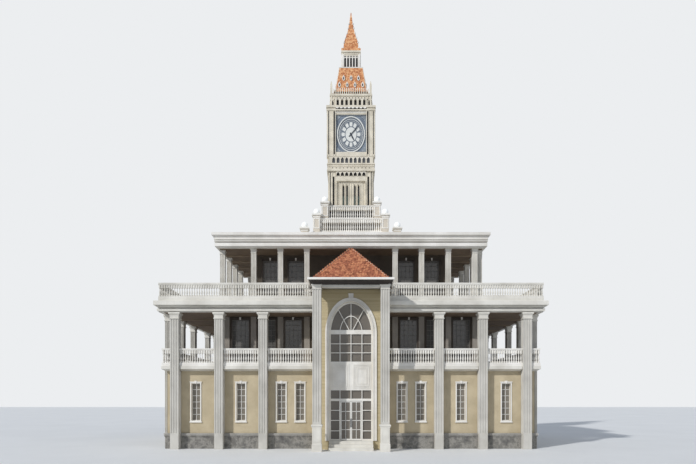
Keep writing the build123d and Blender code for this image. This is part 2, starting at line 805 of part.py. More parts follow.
beam_bottom = 8880
with BuildPart() as portico_beam:
    cap_half = (pillar_size + 120) / 2
    slab(-pillar_x + cap_half, pillar_front + 60, pillar_x - cap_half, pillar_front + 360,
         beam_bottom, eave_bottom)
    for s in (-1, 1):
        slab(s * (pillar_x - 150), pillar_y + cap_half, s * (pillar_x + 150), bay_wall_front,
             beam_bottom, eave_bottom)
save(portico_beam, "portico_beams")

eave_back = portico_upper_back + 315
portico_centre = (eave_front + eave_back) / 2
with BuildPart() as eaves:
    slab(-bay_half - 60, pillar_front - 80, bay_half + 60, portico_upper_back + 60, eave_bottom, eave_cove)
    half_deep = (eave_back - eave_front) / 2
    taper([(0, portico_centre)], eave_cove, eave_lip, (bay_half + 90, half_deep - eave_half + bay_half + 90),
          (eave_half - 20, half_deep - 20))
    slab(-eave_half, eave_front, eave_half, eave_back, eave_lip, eave_top)
save(eaves, "portico_eaves")

roof_point = 20
with BuildPart() as portico_roof:
    taper([(0, portico_centre)], eave_top, eave_top + portico_roof_height,
          (portico_roof_half, (eave_back - eave_front) / 2 - eave_half + portico_roof_half),
          (roof_point, roof_point))
save(portico_roof, "portico_roof")

# Podium on the roof: two raised blocks, piers with balls, balustrades between the piers
with BuildPart() as podium:
    for half, z0, z1 in ((podium_step_half[0], roof_level, podium_step_top[0]),
                         (podium_step_half[1], podium_step_top[0], podium_step_top[1])):
        slab(-half, tower_y - half, half, tower_y + half, z0, z1)
    for k in (1, 2):
        c = pier_centre[k]
        with BuildSketch(Plane.XY.offset(roof_level)):
            with Locations(*[(sx * c, tower_y + sy * c) for sx in (-1, 1) for sy in (-1, 1)]):
                Rectangle(pier_size, pier_size)
        extrude(amount=podium_step_top[k - 1] - roof_level, mode=Mode.SUBTRACT)
save(podium, "roof_podium")

with BuildPart() as piers:
    for c, cap_top in zip(pier_centre, pier_cap_top):
        spots = [(sx * c, tower_y + sy * c) for sx in (-1, 1) for sy in (-1, 1)]
        column_course(spots, pier_size, pier_size, roof_level, cap_top - pier_cap)
        column_course(spots, pier_size + pier_cap_wider, pier_size + pier_cap_wider, cap_top - pier_cap,
                      cap_top)
        with Locations(*[(x, y, cap_top + ball_radius * ball_lift) for x, y in spots]):
            Sphere(ball_radius)
save(piers, "podium_piers")

with BuildPart() as podium_balustrades:
    for k in (1, 2):
        c = pier_centre[k]
        end = c - pier_size / 2
        balustrade([((-end, tower_y - c), (end, tower_y - c)), ((-end, tower_y + c), (end, tower_y + c)),
                    ((-c, tower_y - end), (-c, tower_y + end)), ((c, tower_y - end), (c, tower_y + end))],
                   podium_step_top[k - 1], podium_rail_top[k - 1], podium_plinth, podium_rail)
save(podium_balustrades, "podium_balustrades")


# Tower
def tower_faces(half):
    """Front, rear, right and left faces of a square stage round the tower's axis."""
    return (
        Plane(origin=(0, tower_y - half, 0), x_dir=(1, 0, 0), z_dir=(0, -1, 0)),
        Plane(origin=(0, tower_y + half, 0), x_dir=(-1, 0, 0), z_dir=(0, 1, 0)),
        Plane(origin=(half, tower_y, 0), x_dir=(0, 1, 0), z_dir=(1, 0, 0)),
        Plane(origin=(-half, tower_y, 0), x_dir=(0, -1, 0), z_dir=(-1, 0, 0)),
    )


def stage_walls(half, wall, z0, z1):
    """Four walls of a square stage, inside a BuildPart block."""
    inner = half - wall - joint
    for s in (-1, 1):
        slab(s * (half - wall), tower_y - half, s * half, tower_y + half, z0, z1)
        slab(-inner, tower_y + s * (half - wall), inner, tower_y + s * half, z0, z1)


def lancets(half, depth, spots, width, z0, z1):
    """Pointed slots cut into the four walls to a depth, inside a BuildPart block."""
    for face in tower_faces(half + 5):
        with BuildSketch(face) as slots:
            for u in spots:
                with BuildLine():
                    Polyline((u - width / 2, z0), (u + width / 2, z0),
                             (u + width / 2, z1 - width), (u, z1),
                             (u - width / 2, z1 - width), close=True)
                make_face()
        extrude(slots.sketch, amount=-depth - 5, mode=Mode.SUBTRACT)


def recess(half, depth, x0, x1, z0, z1):
    """The same sunk panel on all four faces of a square stage, inside a BuildPart block."""
    for face in tower_faces(half):
        with BuildSketch(face) as panel:
            rect(x0, z0, x1, z1)
        extrude(panel.sketch, amount=-depth, mode=Mode.SUBTRACT)


def band(half, wall, proud, z0, z1):
    """A moulding round a stage, split at the corners as its walls are, inside a BuildPart block."""
    stage_walls(half + proud, wall + proud, z0, z1)


# Shaft: corner buttresses, slots beside them, a sunk panel with lancets and a frieze of arches
lancet_spots = (-500, -255, 255, 500)
lancet_width = 115
lancet_levels = (15400, 16900)
panel_half = 930
panel_depth = 70
panel_levels = (14750, 17060)
buttress_slot = (1075, 1195)
slot_depth = 50
arch_spots = spread(-840, 840, 7)
frieze_levels = (17150, 17400)
frieze_arch = 180
frieze_depth = 60
with BuildPart() as shaft:
    stage_walls(shaft_half, tower_wall, podium_step_top[1], shaft_top)
    recess(shaft_half, panel_depth, -panel_half, panel_half, *panel_levels)
    for s in (-1, 1):
        recess(shaft_half, slot_depth, s * buttress_slot[0], s * buttress_slot[1], panel_levels[0],
               frieze_levels[1])
    lancets(shaft_half, tower_wall + 5, lancet_spots, lancet_width, *lancet_levels)
    lancets(shaft_half, frieze_depth, arch_spots, frieze_arch, *frieze_levels)
save(shaft, "tower_shaft")

shaft_glass_levels = (15370, 16930)
with BuildPart() as shaft_glass:
    for face in tower_faces(shaft_half - tower_wall):
        with BuildSketch(face):
            with Locations(*[(u, sum(shaft_glass_levels) / 2) for u in lancet_spots]):
                Rectangle(lancet_width + 65, shaft_glass_levels[1] - shaft_glass_levels[0])
        extrude(amount=-glass_thickness)
save(shaft_glass, "tower_glass")

# Arcade under the clock: band between two ledges, blind arches, cornice
arcade_arch = 190
arcade_depth = 110
arcade_cornice = 70
arcade_proud = 50
with BuildPart() as gallery:
    for half, z0, z1 in ((ledge_half, shaft_top, shaft_top + ledge_height),
                         (band_half, shaft_top + ledge_height, band_top),
                         (ledge_half, band_top, arcade_bottom),
                         (arcade_half, arcade_bottom, stage_bottom - arcade_cornice),
                         (arcade_half + arcade_proud, stage_bottom - arcade_cornice, stage_bottom)):
        slab(-half, tower_y - half, half, tower_y + half, z0, z1)
    lancets(arcade_half, arcade_depth, arch_spots + [-1130, 1130], arcade_arch, arcade_bottom,
            stage_bottom - arcade_cornice - 20)
save(gallery, "tower_arcade")

# Clock stage: sunk square for each dial, two corbel bands over it
dial_square = (18950, 21400)
stage_wall = 2 * tower_wall
with BuildPart() as stage:
    stage_walls(stage_half, stage_wall, stage_bottom, stage_top)
    band(stage_half, stage_wall, 40, 21640, 21720)
    band(stage_half, stage_wall, 60, 21840, stage_top)
    recess(stage_half, dial_recess_depth, -dial_recess_half, dial_recess_half, *dial_square)
save(stage, "clock_stage")

dial_thick = 40
ring_proud = 30
ring_outer = (925, 1180)
ring_inner = (850, 1117)
dial_y = tower_y - stage_half + dial_recess_depth
with BuildPart() as dials:
    for face in tower_faces(stage_half - dial_recess_depth):
        with BuildSketch(face):
            with Locations((0, dial_centre)):
                Ellipse(dial_rx, dial_ry)
        extrude(amount=dial_thick)
        with BuildSketch(face):
            with Locations((0, dial_centre)):
                Ellipse(*ring_outer)
                Ellipse(*ring_inner, mode=Mode.SUBTRACT)
        extrude(amount=dial_thick + ring_proud)
save(dials, "clock_dials")

# Clock hands: minute hand in front of the hour hand, both on a spindle
minute_length = 800
hour_length = 520
minute_angle = 42
hour_angle = 153.5
spindle = 30
hub_radius = 60


def hand_sketch(length, tail, width, angle):
    turn = math.radians(angle)
    across, along = (math.cos(turn), -math.sin(turn)), (math.sin(turn), math.cos(turn))
    points = ((-width / 3, -tail), (width / 3, -tail), (width / 2, 0.55 * length), (0, length),
              (-width / 2, 0.55 * length))
    with BuildLine() as outline:
        Polyline(*[(a * across[0] + b * along[0], dial_centre + a * across[1] + b * along[1])
                   for a, b in points], close=True)
    make_face(outline.line)
    with Locations((0, dial_centre)):
        Circle(hub_radius)


hand_thick = 14
hour_front = dial_y - dial_thick - 6 - hand_thick
minute_front = hour_front - 6 - hand_thick
with BuildPart() as hour_hand:
    with BuildSketch(front_face(hour_front)):
        hand_sketch(hour_length, 120, 90, hour_angle)
        with Locations((0, dial_centre)):
            Circle(spindle + 0.3, mode=Mode.SUBTRACT)
    extrude(amount=-hand_thick)
save(hour_hand, "hour_hand")

with BuildPart() as minute_hand:
    with BuildSketch(front_face(minute_front)):
        hand_sketch(minute_length, 200, 70, minute_angle)
        with Locations((0, dial_centre)):
            Circle(spindle + 0.3, mode=Mode.SUBTRACT)
    extrude(amount=-hand_thick)
save(minute_hand, "minute_hand")

with BuildPart() as clock_spindle:
    with BuildSketch(front_face(dial_y - dial_thick)):
        with Locations((0, dial_centre)):
            Circle(spindle)
    extrude(amount=dial_y - dial_thick - minute_front + 6)
save(clock_spindle, "clock_spindle")

with BuildPart() as other_hands:
    for face in tower_faces(stage_half - dial_recess_depth + dial_thick)[1:]:
        with BuildSketch(face):
            hand_sketch(minute_length, 200, 70, minute_angle)
            hand_sketch(hour_length, 120, 90, hour_angle)
        extrude(amount=hand_thick)
save(other_hands, "unseen_clock_hands")

# Belfry: seven openings a side, two bands, a rail of small posts and corner pinnacles
belfry_openings = (22000, 22340)
belfry_opening = 150
rail_post = 60
rail_post_top = 23200
rail_line = belfry_half - 40
rail_posts = spread(-rail_line + 160, rail_line - 160, 17)
pinnacle = 130
pinnacle_top = (23450, 23700)
pinnacles = [(sx * rail_line, tower_y + sy * rail_line) for sx in (-1, 1) for sy in (-1, 1)]
with BuildPart() as belfry:
    stage_walls(belfry_half, tower_wall, stage_top, belfry_top)
    band(belfry_half, tower_wall, 40, 22430, 22500)
    band(belfry_half, tower_wall, 60, 22710, belfry_top)
    lancets(belfry_half, tower_wall + 5, spread(-870, 870, 7), belfry_opening, *belfry_openings)
    column_course([(u, tower_y + s * rail_line) for u in rail_posts for s in (-1, 1)] +
                  [(s * rail_line, tower_y + u) for u in rail_posts for s in (-1, 1)],
                  rail_post, rail_post, belfry_top, rail_post_top)
    column_course(pinnacles, pinnacle, pinnacle, belfry_top, pinnacle_top[0])
    taper(pinnacles, pinnacle_top[0], pinnacle_top[1], (pinnacle / 2, pinnacle / 2), (15, 15))
save(belfry, "belfry")

# Lower roof of the tower, bell-cast at the foot, with two rows of dormers on each side
dormer_rows = ((23620, (-770, -260, 260, 770)), (24100, (-490, 0, 490)))
dormer_wide, dormer_high = 130, 240
dormer_eye = 60
dormer_out = 40


def roof_half_at(level):
    (half0, half1), (z0, z1) = tile_roof_half[1:], tile_roof_levels[1:]
    return half0 + (half1 - half0) * (level - z0) / (z1 - z0)


with BuildPart() as tile_roof:
    for k in (0, 1):
        taper([(0, tower_y)], tile_roof_levels[k], tile_roof_levels[k + 1],
              (tile_roof_half[k], tile_roof_half[k]), (tile_roof_half[k + 1], tile_roof_half[k + 1]))
    slab(-tile_roof_half[2], tower_y - tile_roof_half[2], tile_roof_half[2], tower_y + tile_roof_half[2],
         tile_roof_levels[2], tile_roof_top)
    for level, spots in dormer_rows:
        front = roof_half_at(level - dormer_high / 2) + dormer_out
        for face in tower_faces(front):
            with BuildSketch(face) as heads:
                for u in spots:
                    with BuildLine():
                        Polyline((u - dormer_wide / 2, level - dormer_high / 2),
                                 (u + dormer_wide / 2, level - dormer_high / 2),
                                 (u + dormer_wide / 2, level + dormer_high / 4),
                                 (u, level + dormer_high / 2),
                                 (u - dormer_wide / 2, level + dormer_high / 4), close=True)
                    make_face()
            extrude(heads.sketch, amount=-dormer_out - 120)
            with BuildSketch(face) as eyes:
                with Locations(*[(u, level) for u in spots]):
                    Rectangle(dormer_eye, dormer_eye * 2)
            extrude(eyes.sketch, amount=-dormer_out, mode=Mode.SUBTRACT)
save(tile_roof, "tower_tile_roof")

# Lantern: five openings a side with a round one over each gap, and a cornice
lantern_wall = 120
lantern_openings = (25000, 25570)
lantern_opening = 110
lantern_spots = spread(-390, 390, 5)
eye_level = 25760
eye_radius = 60
with BuildPart() as lantern:
    stage_walls(lantern_half, lantern_wall, tile_roof_top, lantern_top)
    band(lantern_half, lantern_wall, 25, 25880, 25940)
    band(lantern_half, lantern_wall, 40, 26040, lantern_top)
    lancets(lantern_half, lantern_wall + 5, lantern_spots, lantern_opening, *lantern_openings)
    for face in tower_faces(lantern_half):
        with BuildSketch(face) as eyes:
            with Locations(*[(u, eye_level) for u in lantern_spots]):
                Circle(eye_radius)
        extrude(eyes.sketch, amount=-lantern_wall, mode=Mode.SUBTRACT)
save(lantern, "lantern")

# Spire: base block, then tapers that get steeper towards the point
spire_base_half = 645
with BuildPart() as spire:
    slab(-spire_base_half, tower_y - spire_base_half, spire_base_half, tower_y + spire_base_half,
         lantern_top, spire_foot)
    for (half, level), (next_half, next_level) in zip(spire_shape, spire_shape[1:]):
        taper([(0, tower_y)], level, next_level, (half, half), (next_half, next_half))
save(spire, "spire")
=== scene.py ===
"""Looks of the library building: materials, turned and carved details, light and camera.

Metres, in the shared frame: X to the right along the front, Y into the building, Z up.
"""

import math

import bmesh
import bpy
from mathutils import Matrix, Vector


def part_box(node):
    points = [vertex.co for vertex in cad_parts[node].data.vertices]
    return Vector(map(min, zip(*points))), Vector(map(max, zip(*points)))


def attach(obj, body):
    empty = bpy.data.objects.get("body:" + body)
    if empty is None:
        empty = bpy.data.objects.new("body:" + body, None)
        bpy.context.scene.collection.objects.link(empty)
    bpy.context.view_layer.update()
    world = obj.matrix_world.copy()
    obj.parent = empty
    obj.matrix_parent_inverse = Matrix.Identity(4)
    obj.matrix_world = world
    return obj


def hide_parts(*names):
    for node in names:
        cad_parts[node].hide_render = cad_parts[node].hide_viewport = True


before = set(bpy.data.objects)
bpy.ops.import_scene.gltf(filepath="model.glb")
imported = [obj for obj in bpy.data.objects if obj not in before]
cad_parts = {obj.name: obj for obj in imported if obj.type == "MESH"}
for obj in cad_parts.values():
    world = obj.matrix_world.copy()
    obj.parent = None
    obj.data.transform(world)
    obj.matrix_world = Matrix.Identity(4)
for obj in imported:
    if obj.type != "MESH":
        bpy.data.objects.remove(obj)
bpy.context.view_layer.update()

# The picture in pixels: size, focal length and vanishing point
image_width, image_height = 696, 464
focal_pixels = 541
vanishing_x, vanishing_y = 351, 399
# The camera in metres, from the front wall's plane and from the ground, and its sensor in millimetres
camera_distance, eye_height = 30.6, 2.85
sensor_width = 36


# Meshes
class Batch:
    """Many small shapes gathered into one mesh."""

    def __init__(self):
        self.verts = []
        self.faces = []

    def add(self, verts, faces):
        start = len(self.verts)
        self.verts.extend(verts)
        self.faces.extend([tuple(start + i for i in face) for face in faces])

    def box(self, low, high):
        (x0, y0, z0), (x1, y1, z1) = low, high
        corners = [(x, y, z) for z in (z0, z1) for x, y in ((x0, y0), (x1, y0), (x1, y1), (x0, y1))]
        self.add(corners, [(3, 2, 1, 0), (4, 5, 6, 7), (0, 1, 5, 4), (1, 2, 6, 5), (2, 3, 7, 6),
                           (3, 0, 4, 7)])

    def stack(self, loops):
        """Joins loops of equally many points with quads, and closes the first and last."""
        count = len(loops[0])
        faces = []
        for k in range(len(loops) - 1):
            for i in range(count):
                j = (i + 1) % count
                faces.append((k * count + i, k * count + j, (k + 1) * count + j, (k + 1) * count + i))
        faces.append(tuple(reversed(range(count))))
        faces.append(tuple(range((len(loops) - 1) * count, len(loops) * count)))
        self.add([point for loop in loops for point in loop], faces)

    def moulding(self, x, y, half_x, half_y, profile):
        """A rectangular block, from steps of (distance out of its half widths, level)."""
        self.stack([square_loop(x, y, half_x + out, half_y + out, z) for out, z in profile])

    def turned(self, x, y, profile, sides):
        """A round block, from steps of (radius, level)."""
        self.stack([round_loop(x, y, radius, z, sides) for radius, z in profile])

    def build(self, name, material, body="building", replaced=(), smooth=False, slot=None):
        mesh = bpy.data.meshes.new(name)
        mesh.from_pydata(self.verts, [], self.faces)
        work = bmesh.new()
        work.from_mesh(mesh)
        bmesh.ops.recalc_face_normals(work, faces=work.faces)
        work.to_mesh(mesh)
        work.free()
        piece = bpy.data.objects.new(name, mesh)
        bpy.context.scene.collection.objects.link(piece)
        mesh.materials.append(material)
        if smooth:
            mesh.shade_smooth()
            edges = piece.modifiers.new("edges", "EDGE_SPLIT")
            edges.split_angle = math.radians(40)
        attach(piece, body)
        if replaced:
            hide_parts(*replaced)
        return piece


def rect_loop(x0, y0, x1, y1, z):
    return [(x0, y0, z), (x1, y0, z), (x1, y1, z), (x0, y1, z)]


def square_loop(cx, cy, half_x, half_y, z):
    return rect_loop(cx - half_x, cy - half_y, cx + half_x, cy + half_y, z)


def round_loop(cx, cy, radius, z, sides):
    turns = [2 * math.pi * i / sides for i in range(sides)]
    return [(cx + radius * math.cos(a), cy + radius * math.sin(a), z) for a in turns]


def cove_points(start, end, steps):
    """Points of a cove between two (offset, level) points."""
    (o0, z0), (o1, z1) = start, end
    turns = [math.pi / 2 * i / steps for i in range(steps + 1)]
    return [(o1 + (o0 - o1) * math.cos(a), z0 + (z1 - z0) * math.sin(a)) for a in turns]


# Materials
def linear(value):
    return value / 12.92 if value <= 0.04045 else ((value + 0.055) / 1.055) ** 2.4


def colour(red, green, blue):
    """A colour given in 0 to 255 as on screen."""
    return (linear(red / 255), linear(green / 255), linear(blue / 255), 1)


def add_node(tree, kind, inputs=(), **settings):
    """A new node. Inputs gives a value, or the output that feeds it, for a socket's name or number."""
    made = tree.nodes.new(kind)
    for key, value in settings.items():
        setattr(made, key, value)
    for socket, value in dict(inputs).items():
        if isinstance(value, bpy.types.NodeSocket):
            tree.links.new(value, made.inputs[socket])
        else:
            made.inputs[socket].default_value = value
    return made


class Shader:
    """A node material with short calls for the nodes that this scene uses."""

    def __init__(self, name, roughness, **sockets):
        self.material = bpy.data.materials.new(name)
        self.material.use_nodes = True
        self.tree = self.material.node_tree
        self.surface = self.tree.nodes["Principled BSDF"]
        for socket, value in {"Roughness": roughness, **sockets}.items():
            self.surface.inputs[socket.replace("_", " ")].default_value = value
        self.place = self.node("ShaderNodeTexCoord").outputs["Object"]

    def node(self, kind, inputs=(), **settings):
        return add_node(self.tree, kind, inputs, **settings)

    def scaled(self, x, y, z):
        return self.node("ShaderNodeMapping", {"Scale": (x, y, z), "Vector": self.place}).outputs["Vector"]

    def split(self):
        return self.node("ShaderNodeSeparateXYZ", {0: self.place}).outputs

    def noise(self, scale, detail=4, vector=None, roughness=0.55):
        return self.node("ShaderNodeTexNoise", {"Scale": scale, "Detail": detail, "Roughness": roughness,
                                                "Vector": vector or self.place}).outputs["Fac"]

    def stepped(self, source, stops):
        made = self.node("ShaderNodeValToRGB", {"Fac": source})
        elements = made.color_ramp.elements
        while len(elements) < len(stops):
            elements.new(0.5)
        for element, (position, shade) in zip(elements, stops):
            element.position, element.color = position, shade
        return made.outputs["Color"]

    def ramp(self, source, *stops):
        """Colours along a value. Each stop is a position and a colour in 0 to 255."""
        return self.stepped(source, [(position, colour(*tone)) for position, tone in stops])

    def mask(self, source, low, high, share):
        """Nothing up to one value, rising to a share at another."""
        return self.stepped(source, [(low, (0, 0, 0, 1)), (high, (share, share, share, 1))])

    def mix(self, factor, first, second):
        return self.node("ShaderNodeMix", {0: factor, 6: first, 7: second}, data_type="RGBA").outputs[2]

    def bump(self, height, strength, distance, **more):
        return self.node("ShaderNodeBump", {"Strength": strength, "Distance": distance, "Height": height,
                                            **more}).outputs["Normal"]

    def finish(self, base, normal=None):
        self.tree.links.new(base, self.surface.inputs["Base Color"])
        if normal:
            self.tree.links.new(normal, self.surface.inputs["Normal"])
        return self.material


def darker(tone, by):
    return [max(0, value - by) for value in tone]


def painted_render(name, tone, dirt):
    """Painted masonry: faint blotches, faint rain streaks and a fine roller texture."""
    shade = Shader(name, 0.62)
    blotch = shade.ramp(shade.noise(0.9), (0.3, dirt), (0.62, tone))
    streak = shade.noise(2.2, vector=shade.scaled(6, 6, 0.25))
    streaked = shade.mix(shade.mask(streak, 0.5, 0.8, 0.35), blotch, colour(*dirt))
    return shade.finish(streaked, shade.bump(shade.noise(90, detail=3), 0.25, 0.004))


def stucco(name, tone, dark):
    """Rough render: soft blotches and a coarse grain."""
    shade = Shader(name, 0.88)
    base = shade.ramp(shade.noise(1.3, detail=6), (0.3, dark), (0.65, tone))
    grain = shade.noise(55, detail=6, roughness=0.7)
    speckled = shade.mix(0.18, base, shade.ramp(grain, (0.35, dark), (0.6, tone)))
    return shade.finish(speckled, shade.bump(grain, 0.55, 0.01))


def carved_stone(name, tone, shadow):
    """Carved stone: soft dark clouds and a chiselled grain."""
    shade = Shader(name, 0.78)
    cloud = shade.ramp(shade.noise(1.7, detail=7), (0.32, shadow), (0.6, tone))
    grain = shade.noise(38, detail=5, roughness=0.65)
    base = shade.mix(0.16, cloud, shade.ramp(grain, (0.4, shadow), (0.6, tone)))
    return shade.finish(base, shade.bump(grain, 0.35, 0.006))


def veined_stone(name):
    """Dressed grey stone blocks with darker joints, pale and dark veins."""
    shade = Shader(name, 0.7)
    x, y, z = shade.split()
    along = shade.node("ShaderNodeMath", {0: x, 1: y}, operation="ADD").outputs[0]
    flat = shade.node("ShaderNodeCombineXYZ", {0: along, 1: z}).outputs[0]
    blocks = shade.node("ShaderNodeTexBrick", {
        "Vector": flat, "Scale": 1, "Brick Width": 1.1, "Row Height": 0.345, "Mortar Size": 0.006,
        "Color1": colour(104, 101, 96), "Color2": colour(122, 118, 111),
        "Mortar": colour(84, 82, 79)}).outputs
    veins = shade.ramp(shade.noise(1.6, detail=9, roughness=0.68), (0.36, (72, 71, 72)),
                       (0.47, (128, 125, 118)), (0.52, (164, 160, 152)), (0.6, (106, 103, 98)))
    base = shade.mix(0.62, blocks["Color"], veins)
    normal = shade.bump(shade.noise(30, detail=5), 0.3, 0.008)
    return shade.finish(base, shade.bump(blocks["Fac"], -0.6, 0.008, Normal=normal))


def siding_paint(name):
    """Yellow boards: each board a little different, with faint grain along it."""
    shade = Shader(name, 0.6)
    rows = shade.noise(1.0, detail=1, vector=shade.scaled(0.02, 0.02, 7))
    tone = shade.ramp(rows, (0.3, (182, 166, 128)), (0.7, (202, 187, 150)))
    grain = shade.noise(14, detail=5, vector=shade.scaled(0.4, 0.4, 9))
    base = shade.mix(shade.mask(grain, 0.45, 0.75, 0.3), tone, colour(152, 136, 102))
    return shade.finish(base, shade.bump(grain, 0.3, 0.003))


def clay(name, pale, mid, deep, cell):
    """Clay tiles: the colour changes from tile to tile."""
    shade = Shader(name, 0.82)
    cells = shade.node("ShaderNodeTexVoronoi", {"Scale": cell, "Vector": shade.place}).outputs["Color"]
    per_tile = shade.node("ShaderNodeSeparateColor", {0: cells}).outputs[0]
    base = shade.ramp(per_tile, (0.1, deep), (0.5, mid), (0.9, pale))
    grit = shade.noise(45, detail=5)
    mottled = shade.mix(shade.mask(grit, 0.42, 0.7, 0.45), base, colour(*deep))
    return shade.finish(mottled, shade.bump(grit, 0.4, 0.006))


def dark_glass(name, tone):
    """Tinted glass: dark, glossy, with a faint waviness."""
    shade = Shader(name, 0.06, IOR=1.5)
    base = shade.ramp(shade.noise(0.35, detail=1), (0.3, darker(tone, 14)), (0.7, tone))
    return shade.finish(base, shade.bump(shade.noise(0.8, detail=2), 0.06, 0.02))


def by_level(name, level, under, over, roughness):
    """One colour below a level and another above it; on the glass and the casings the upper colour is painted
    shade.
    """
    shade = Shader(name, roughness)
    above = shade.node("ShaderNodeMath", {0: shade.split()[2], 1: level}, operation="GREATER_THAN").outputs[0]
    patch = shade.noise(2.5, detail=3)
    return shade.finish(shade.mix(above, *[shade.ramp(patch, (0.3, darker(tone, 10)), (0.65, tone))
                                           for tone in (under, over)]))


def plain_paint(name, tone, roughness=0.5):
    """Paint or metal of one tone, with faint patches."""
    shade = Shader(name, roughness)
    base = shade.ramp(shade.noise(7), (0.3, darker(tone, 14)), (0.65, tone))
    return shade.finish(base, shade.bump(shade.noise(120, detail=2), 0.12, 0.002))


white = painted_render("white_render", (223, 219, 209), (197, 192, 181))
podium_felt = by_level("podium_block", 13.4, (213, 208, 196), (108, 100, 90), roughness=0.8)
white_crisp = painted_render("white_moulding", (238, 234, 226), (214, 209, 199))
pier_render = painted_render("pier_render", (214, 204, 188), (190, 180, 164))
tan = stucco("tan_stucco", (200, 185, 155), (178, 163, 134))
stone = veined_stone("veined_stone")
boards = siding_paint("yellow_siding")
column_paint = painted_render("column_paint", (202, 198, 189), (181, 177, 168))
# Pilasters of the second floor, darkened as painted shade of the veranda
pilaster_shade = painted_render("pilaster_paint", (158, 150, 140), (134, 126, 116))
sash_grey = plain_paint("sash_grey", (128, 124, 118))
brown_boards = stucco("brown_ceiling", (124, 105, 86), (104, 87, 70))
brown_rib = stucco("brown_ceiling_rib", (158, 140, 118), (136, 118, 98))
clay_porch = clay("porch_clay", (208, 142, 100), (180, 110, 78), (138, 80, 54), cell=8)
clay_tower = clay("tower_clay", (240, 188, 136), (222, 156, 106), (182, 116, 74), cell=10)
clay_hip = clay("hip_clay", (238, 222, 202), (228, 206, 182), (204, 172, 142), cell=8)
# Window glass, darker above 4.8 m as painted shade of the verandas
glass = by_level("window_glass_painted_shade_above", 4.8, (126, 119, 107), (108, 105, 101), roughness=0.06)
entrance_glass = dark_glass("entrance_glass_tint", (116, 109, 100))
# Lancet glass: teal below 16.2 m, and near-black above it as painted shade of the dark inside
tower_glass_and_shade = by_level("tower_glass_teal_and_painted_shade", 16.2, (96, 128, 124), (34, 34, 36), roughness=0.08)
# Casings white below 4.8 m and dark brown above it, the dark brown being painted shade of the verandas
casing = by_level("window_casing_painted_shade_above", 4.8, (238, 234, 226), (66, 56, 48), roughness=0.6)
upper_casing_shade = plain_paint("upper_casing_painted_shade", (66, 56, 48), roughness=0.6)
# Dark brown of the portico's cove and underside: the boards' brown with painted shade
shaded_soffit_boards = stucco("soffit_boards_painted_shade", (66, 59, 54), (50, 45, 41))
base_moulding = carved_stone("base_moulding_stone", (184, 180, 172), (150, 146, 138))
cream = carved_stone("cream_stone", (228, 219, 200), (198, 189, 170))
slate_blue = carved_stone("blue_grey_stone", (128, 138, 150), (92, 100, 112))
slate_dark = carved_stone("dial_plate_grey", (112, 120, 130), (84, 92, 102))
slate_pale = carved_stone("dial_ornament_grey", (168, 174, 178), (130, 138, 146))
# Grey for the sheets behind the arcade's openings: painted shade
arcade_shade_grey = plain_paint("arcade_painted_shade_grey", (82, 84, 88), roughness=0.4)
# Near-black for painted shade in the tower's hollows, slots and openings
painted_shade_dark = plain_paint("shadowed_hollow", (44, 42, 40), roughness=0.9)
dial_white = plain_paint("dial_white", (226, 226, 220))
hand_paint = plain_paint("hand_paint", (40, 50, 64), roughness=0.35)
white_metal = plain_paint("white_metal", (232, 229, 222), roughness=0.35)
grey_floor = stucco("grey_floor", (150, 147, 142), (128, 125, 120))
# Walls of the upper storeys: the tan stucco made dark brown as painted shade of the verandas
wall_shade = stucco("upper_wall_painted_shade", (92, 83, 71), (74, 66, 56))

NODE_MATERIALS = {
    column_paint: ("giant_columns", "side_columns", "third_floor_columns", "portico_pillars"),
    white: ("second_floor_deck", "terrace_entablature", "main_roof", "gallery_balustrades", "terrace_parapet",
            "portico_beams", "portico_eaves", "entrance_steps", "podium_balustrades"),
    pier_render: ("podium_piers",),
    podium_felt: ("roof_podium",),
    white_crisp: ("arch_trim", "entrance_window_frame", "sidelights", "spandrel_panel"),
    casing: ("window_trims",),
    pilaster_shade: ("second_floor_pilasters",),
    tan: ("ground_walls",),
    wall_shade: ("second_floor_walls", "third_floor_walls"),
    stone: ("stone_base",),
    boards: ("entrance_piers", "entrance_arch_wall", "entrance_side_walls"),
    clay_porch: ("portico_roof",),
    clay_tower: ("tower_tile_roof", "spire"),
    glass: ("window_glass",),
    entrance_glass: ("entrance_glass", "left_door_glass", "right_door_glass"),
    tower_glass_and_shade: ("tower_glass",),
    cream: ("tower_shaft", "tower_arcade", "clock_stage", "belfry", "lantern"),
    dial_white: ("clock_dials",),
    hand_paint: ("minute_hand", "hour_hand", "unseen_clock_hands", "clock_spindle"),
    white_metal: ("left_door_leaf", "right_door_leaf", "door_head_and_hinges"),
    grey_floor: ("ground_floor",),
}
for surface, names in NODE_MATERIALS.items():
    for name in names:
        node_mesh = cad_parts[name].data
        node_mesh.materials.clear()
        node_mesh.materials.append(surface)


# Wall faces: along the wall, up it and out of it
def front_at(y):
    return lambda u, z, out: (u, y - out, z)


def rear_at(y):
    return lambda u, z, out: (u, y + out, z)


def right_at(x):
    return lambda u, z, out: (x + out, u, z)


def left_at(x):
    return lambda u, z, out: (-x - out, u, z)


def face_prism(batch, at, outline, out0, out1):
    """An outline on a face, pushed out of it."""
    batch.stack([[at(u, z, out) for u, z in outline] for out in (out0, out1)])


def face_box(batch, at, u0, u1, z0, z1, out0, out1):
    """A block on a face: two places along it, two levels and two distances out of it."""
    face_prism(batch, at, ((u0, z0), (u1, z0), (u1, z1), (u0, z1)), out0, out1)


def face_boxes(batch, at, rows):
    for row in rows:
        face_box(batch, at, *row)


def frame_rows(u0, u1, z0, z1, width, out0, out1):
    """Blocks of a flat frame: two upright ones, and two level ones between them."""
    upright = [(u, u + width, z0, z1, out0, out1) for u in (u0, u1 - width)]
    return upright + [(u0 + width, u1 - width, z, z + width, out0, out1) for z in (z0, z1 - width)]


def ribbon(batch, at, inner, outer, out0, out1):
    """Blocks on a face between two rows of points."""
    for k in range(len(inner) - 1):
        face_prism(batch, at, (inner[k], inner[k + 1], outer[k + 1], outer[k]), out0, out1)


def mirrored(values):
    return [-value for value in values] + list(values)


def spread(first, last, count):
    return [first + (last - first) * i / (count - 1) for i in range(count)]


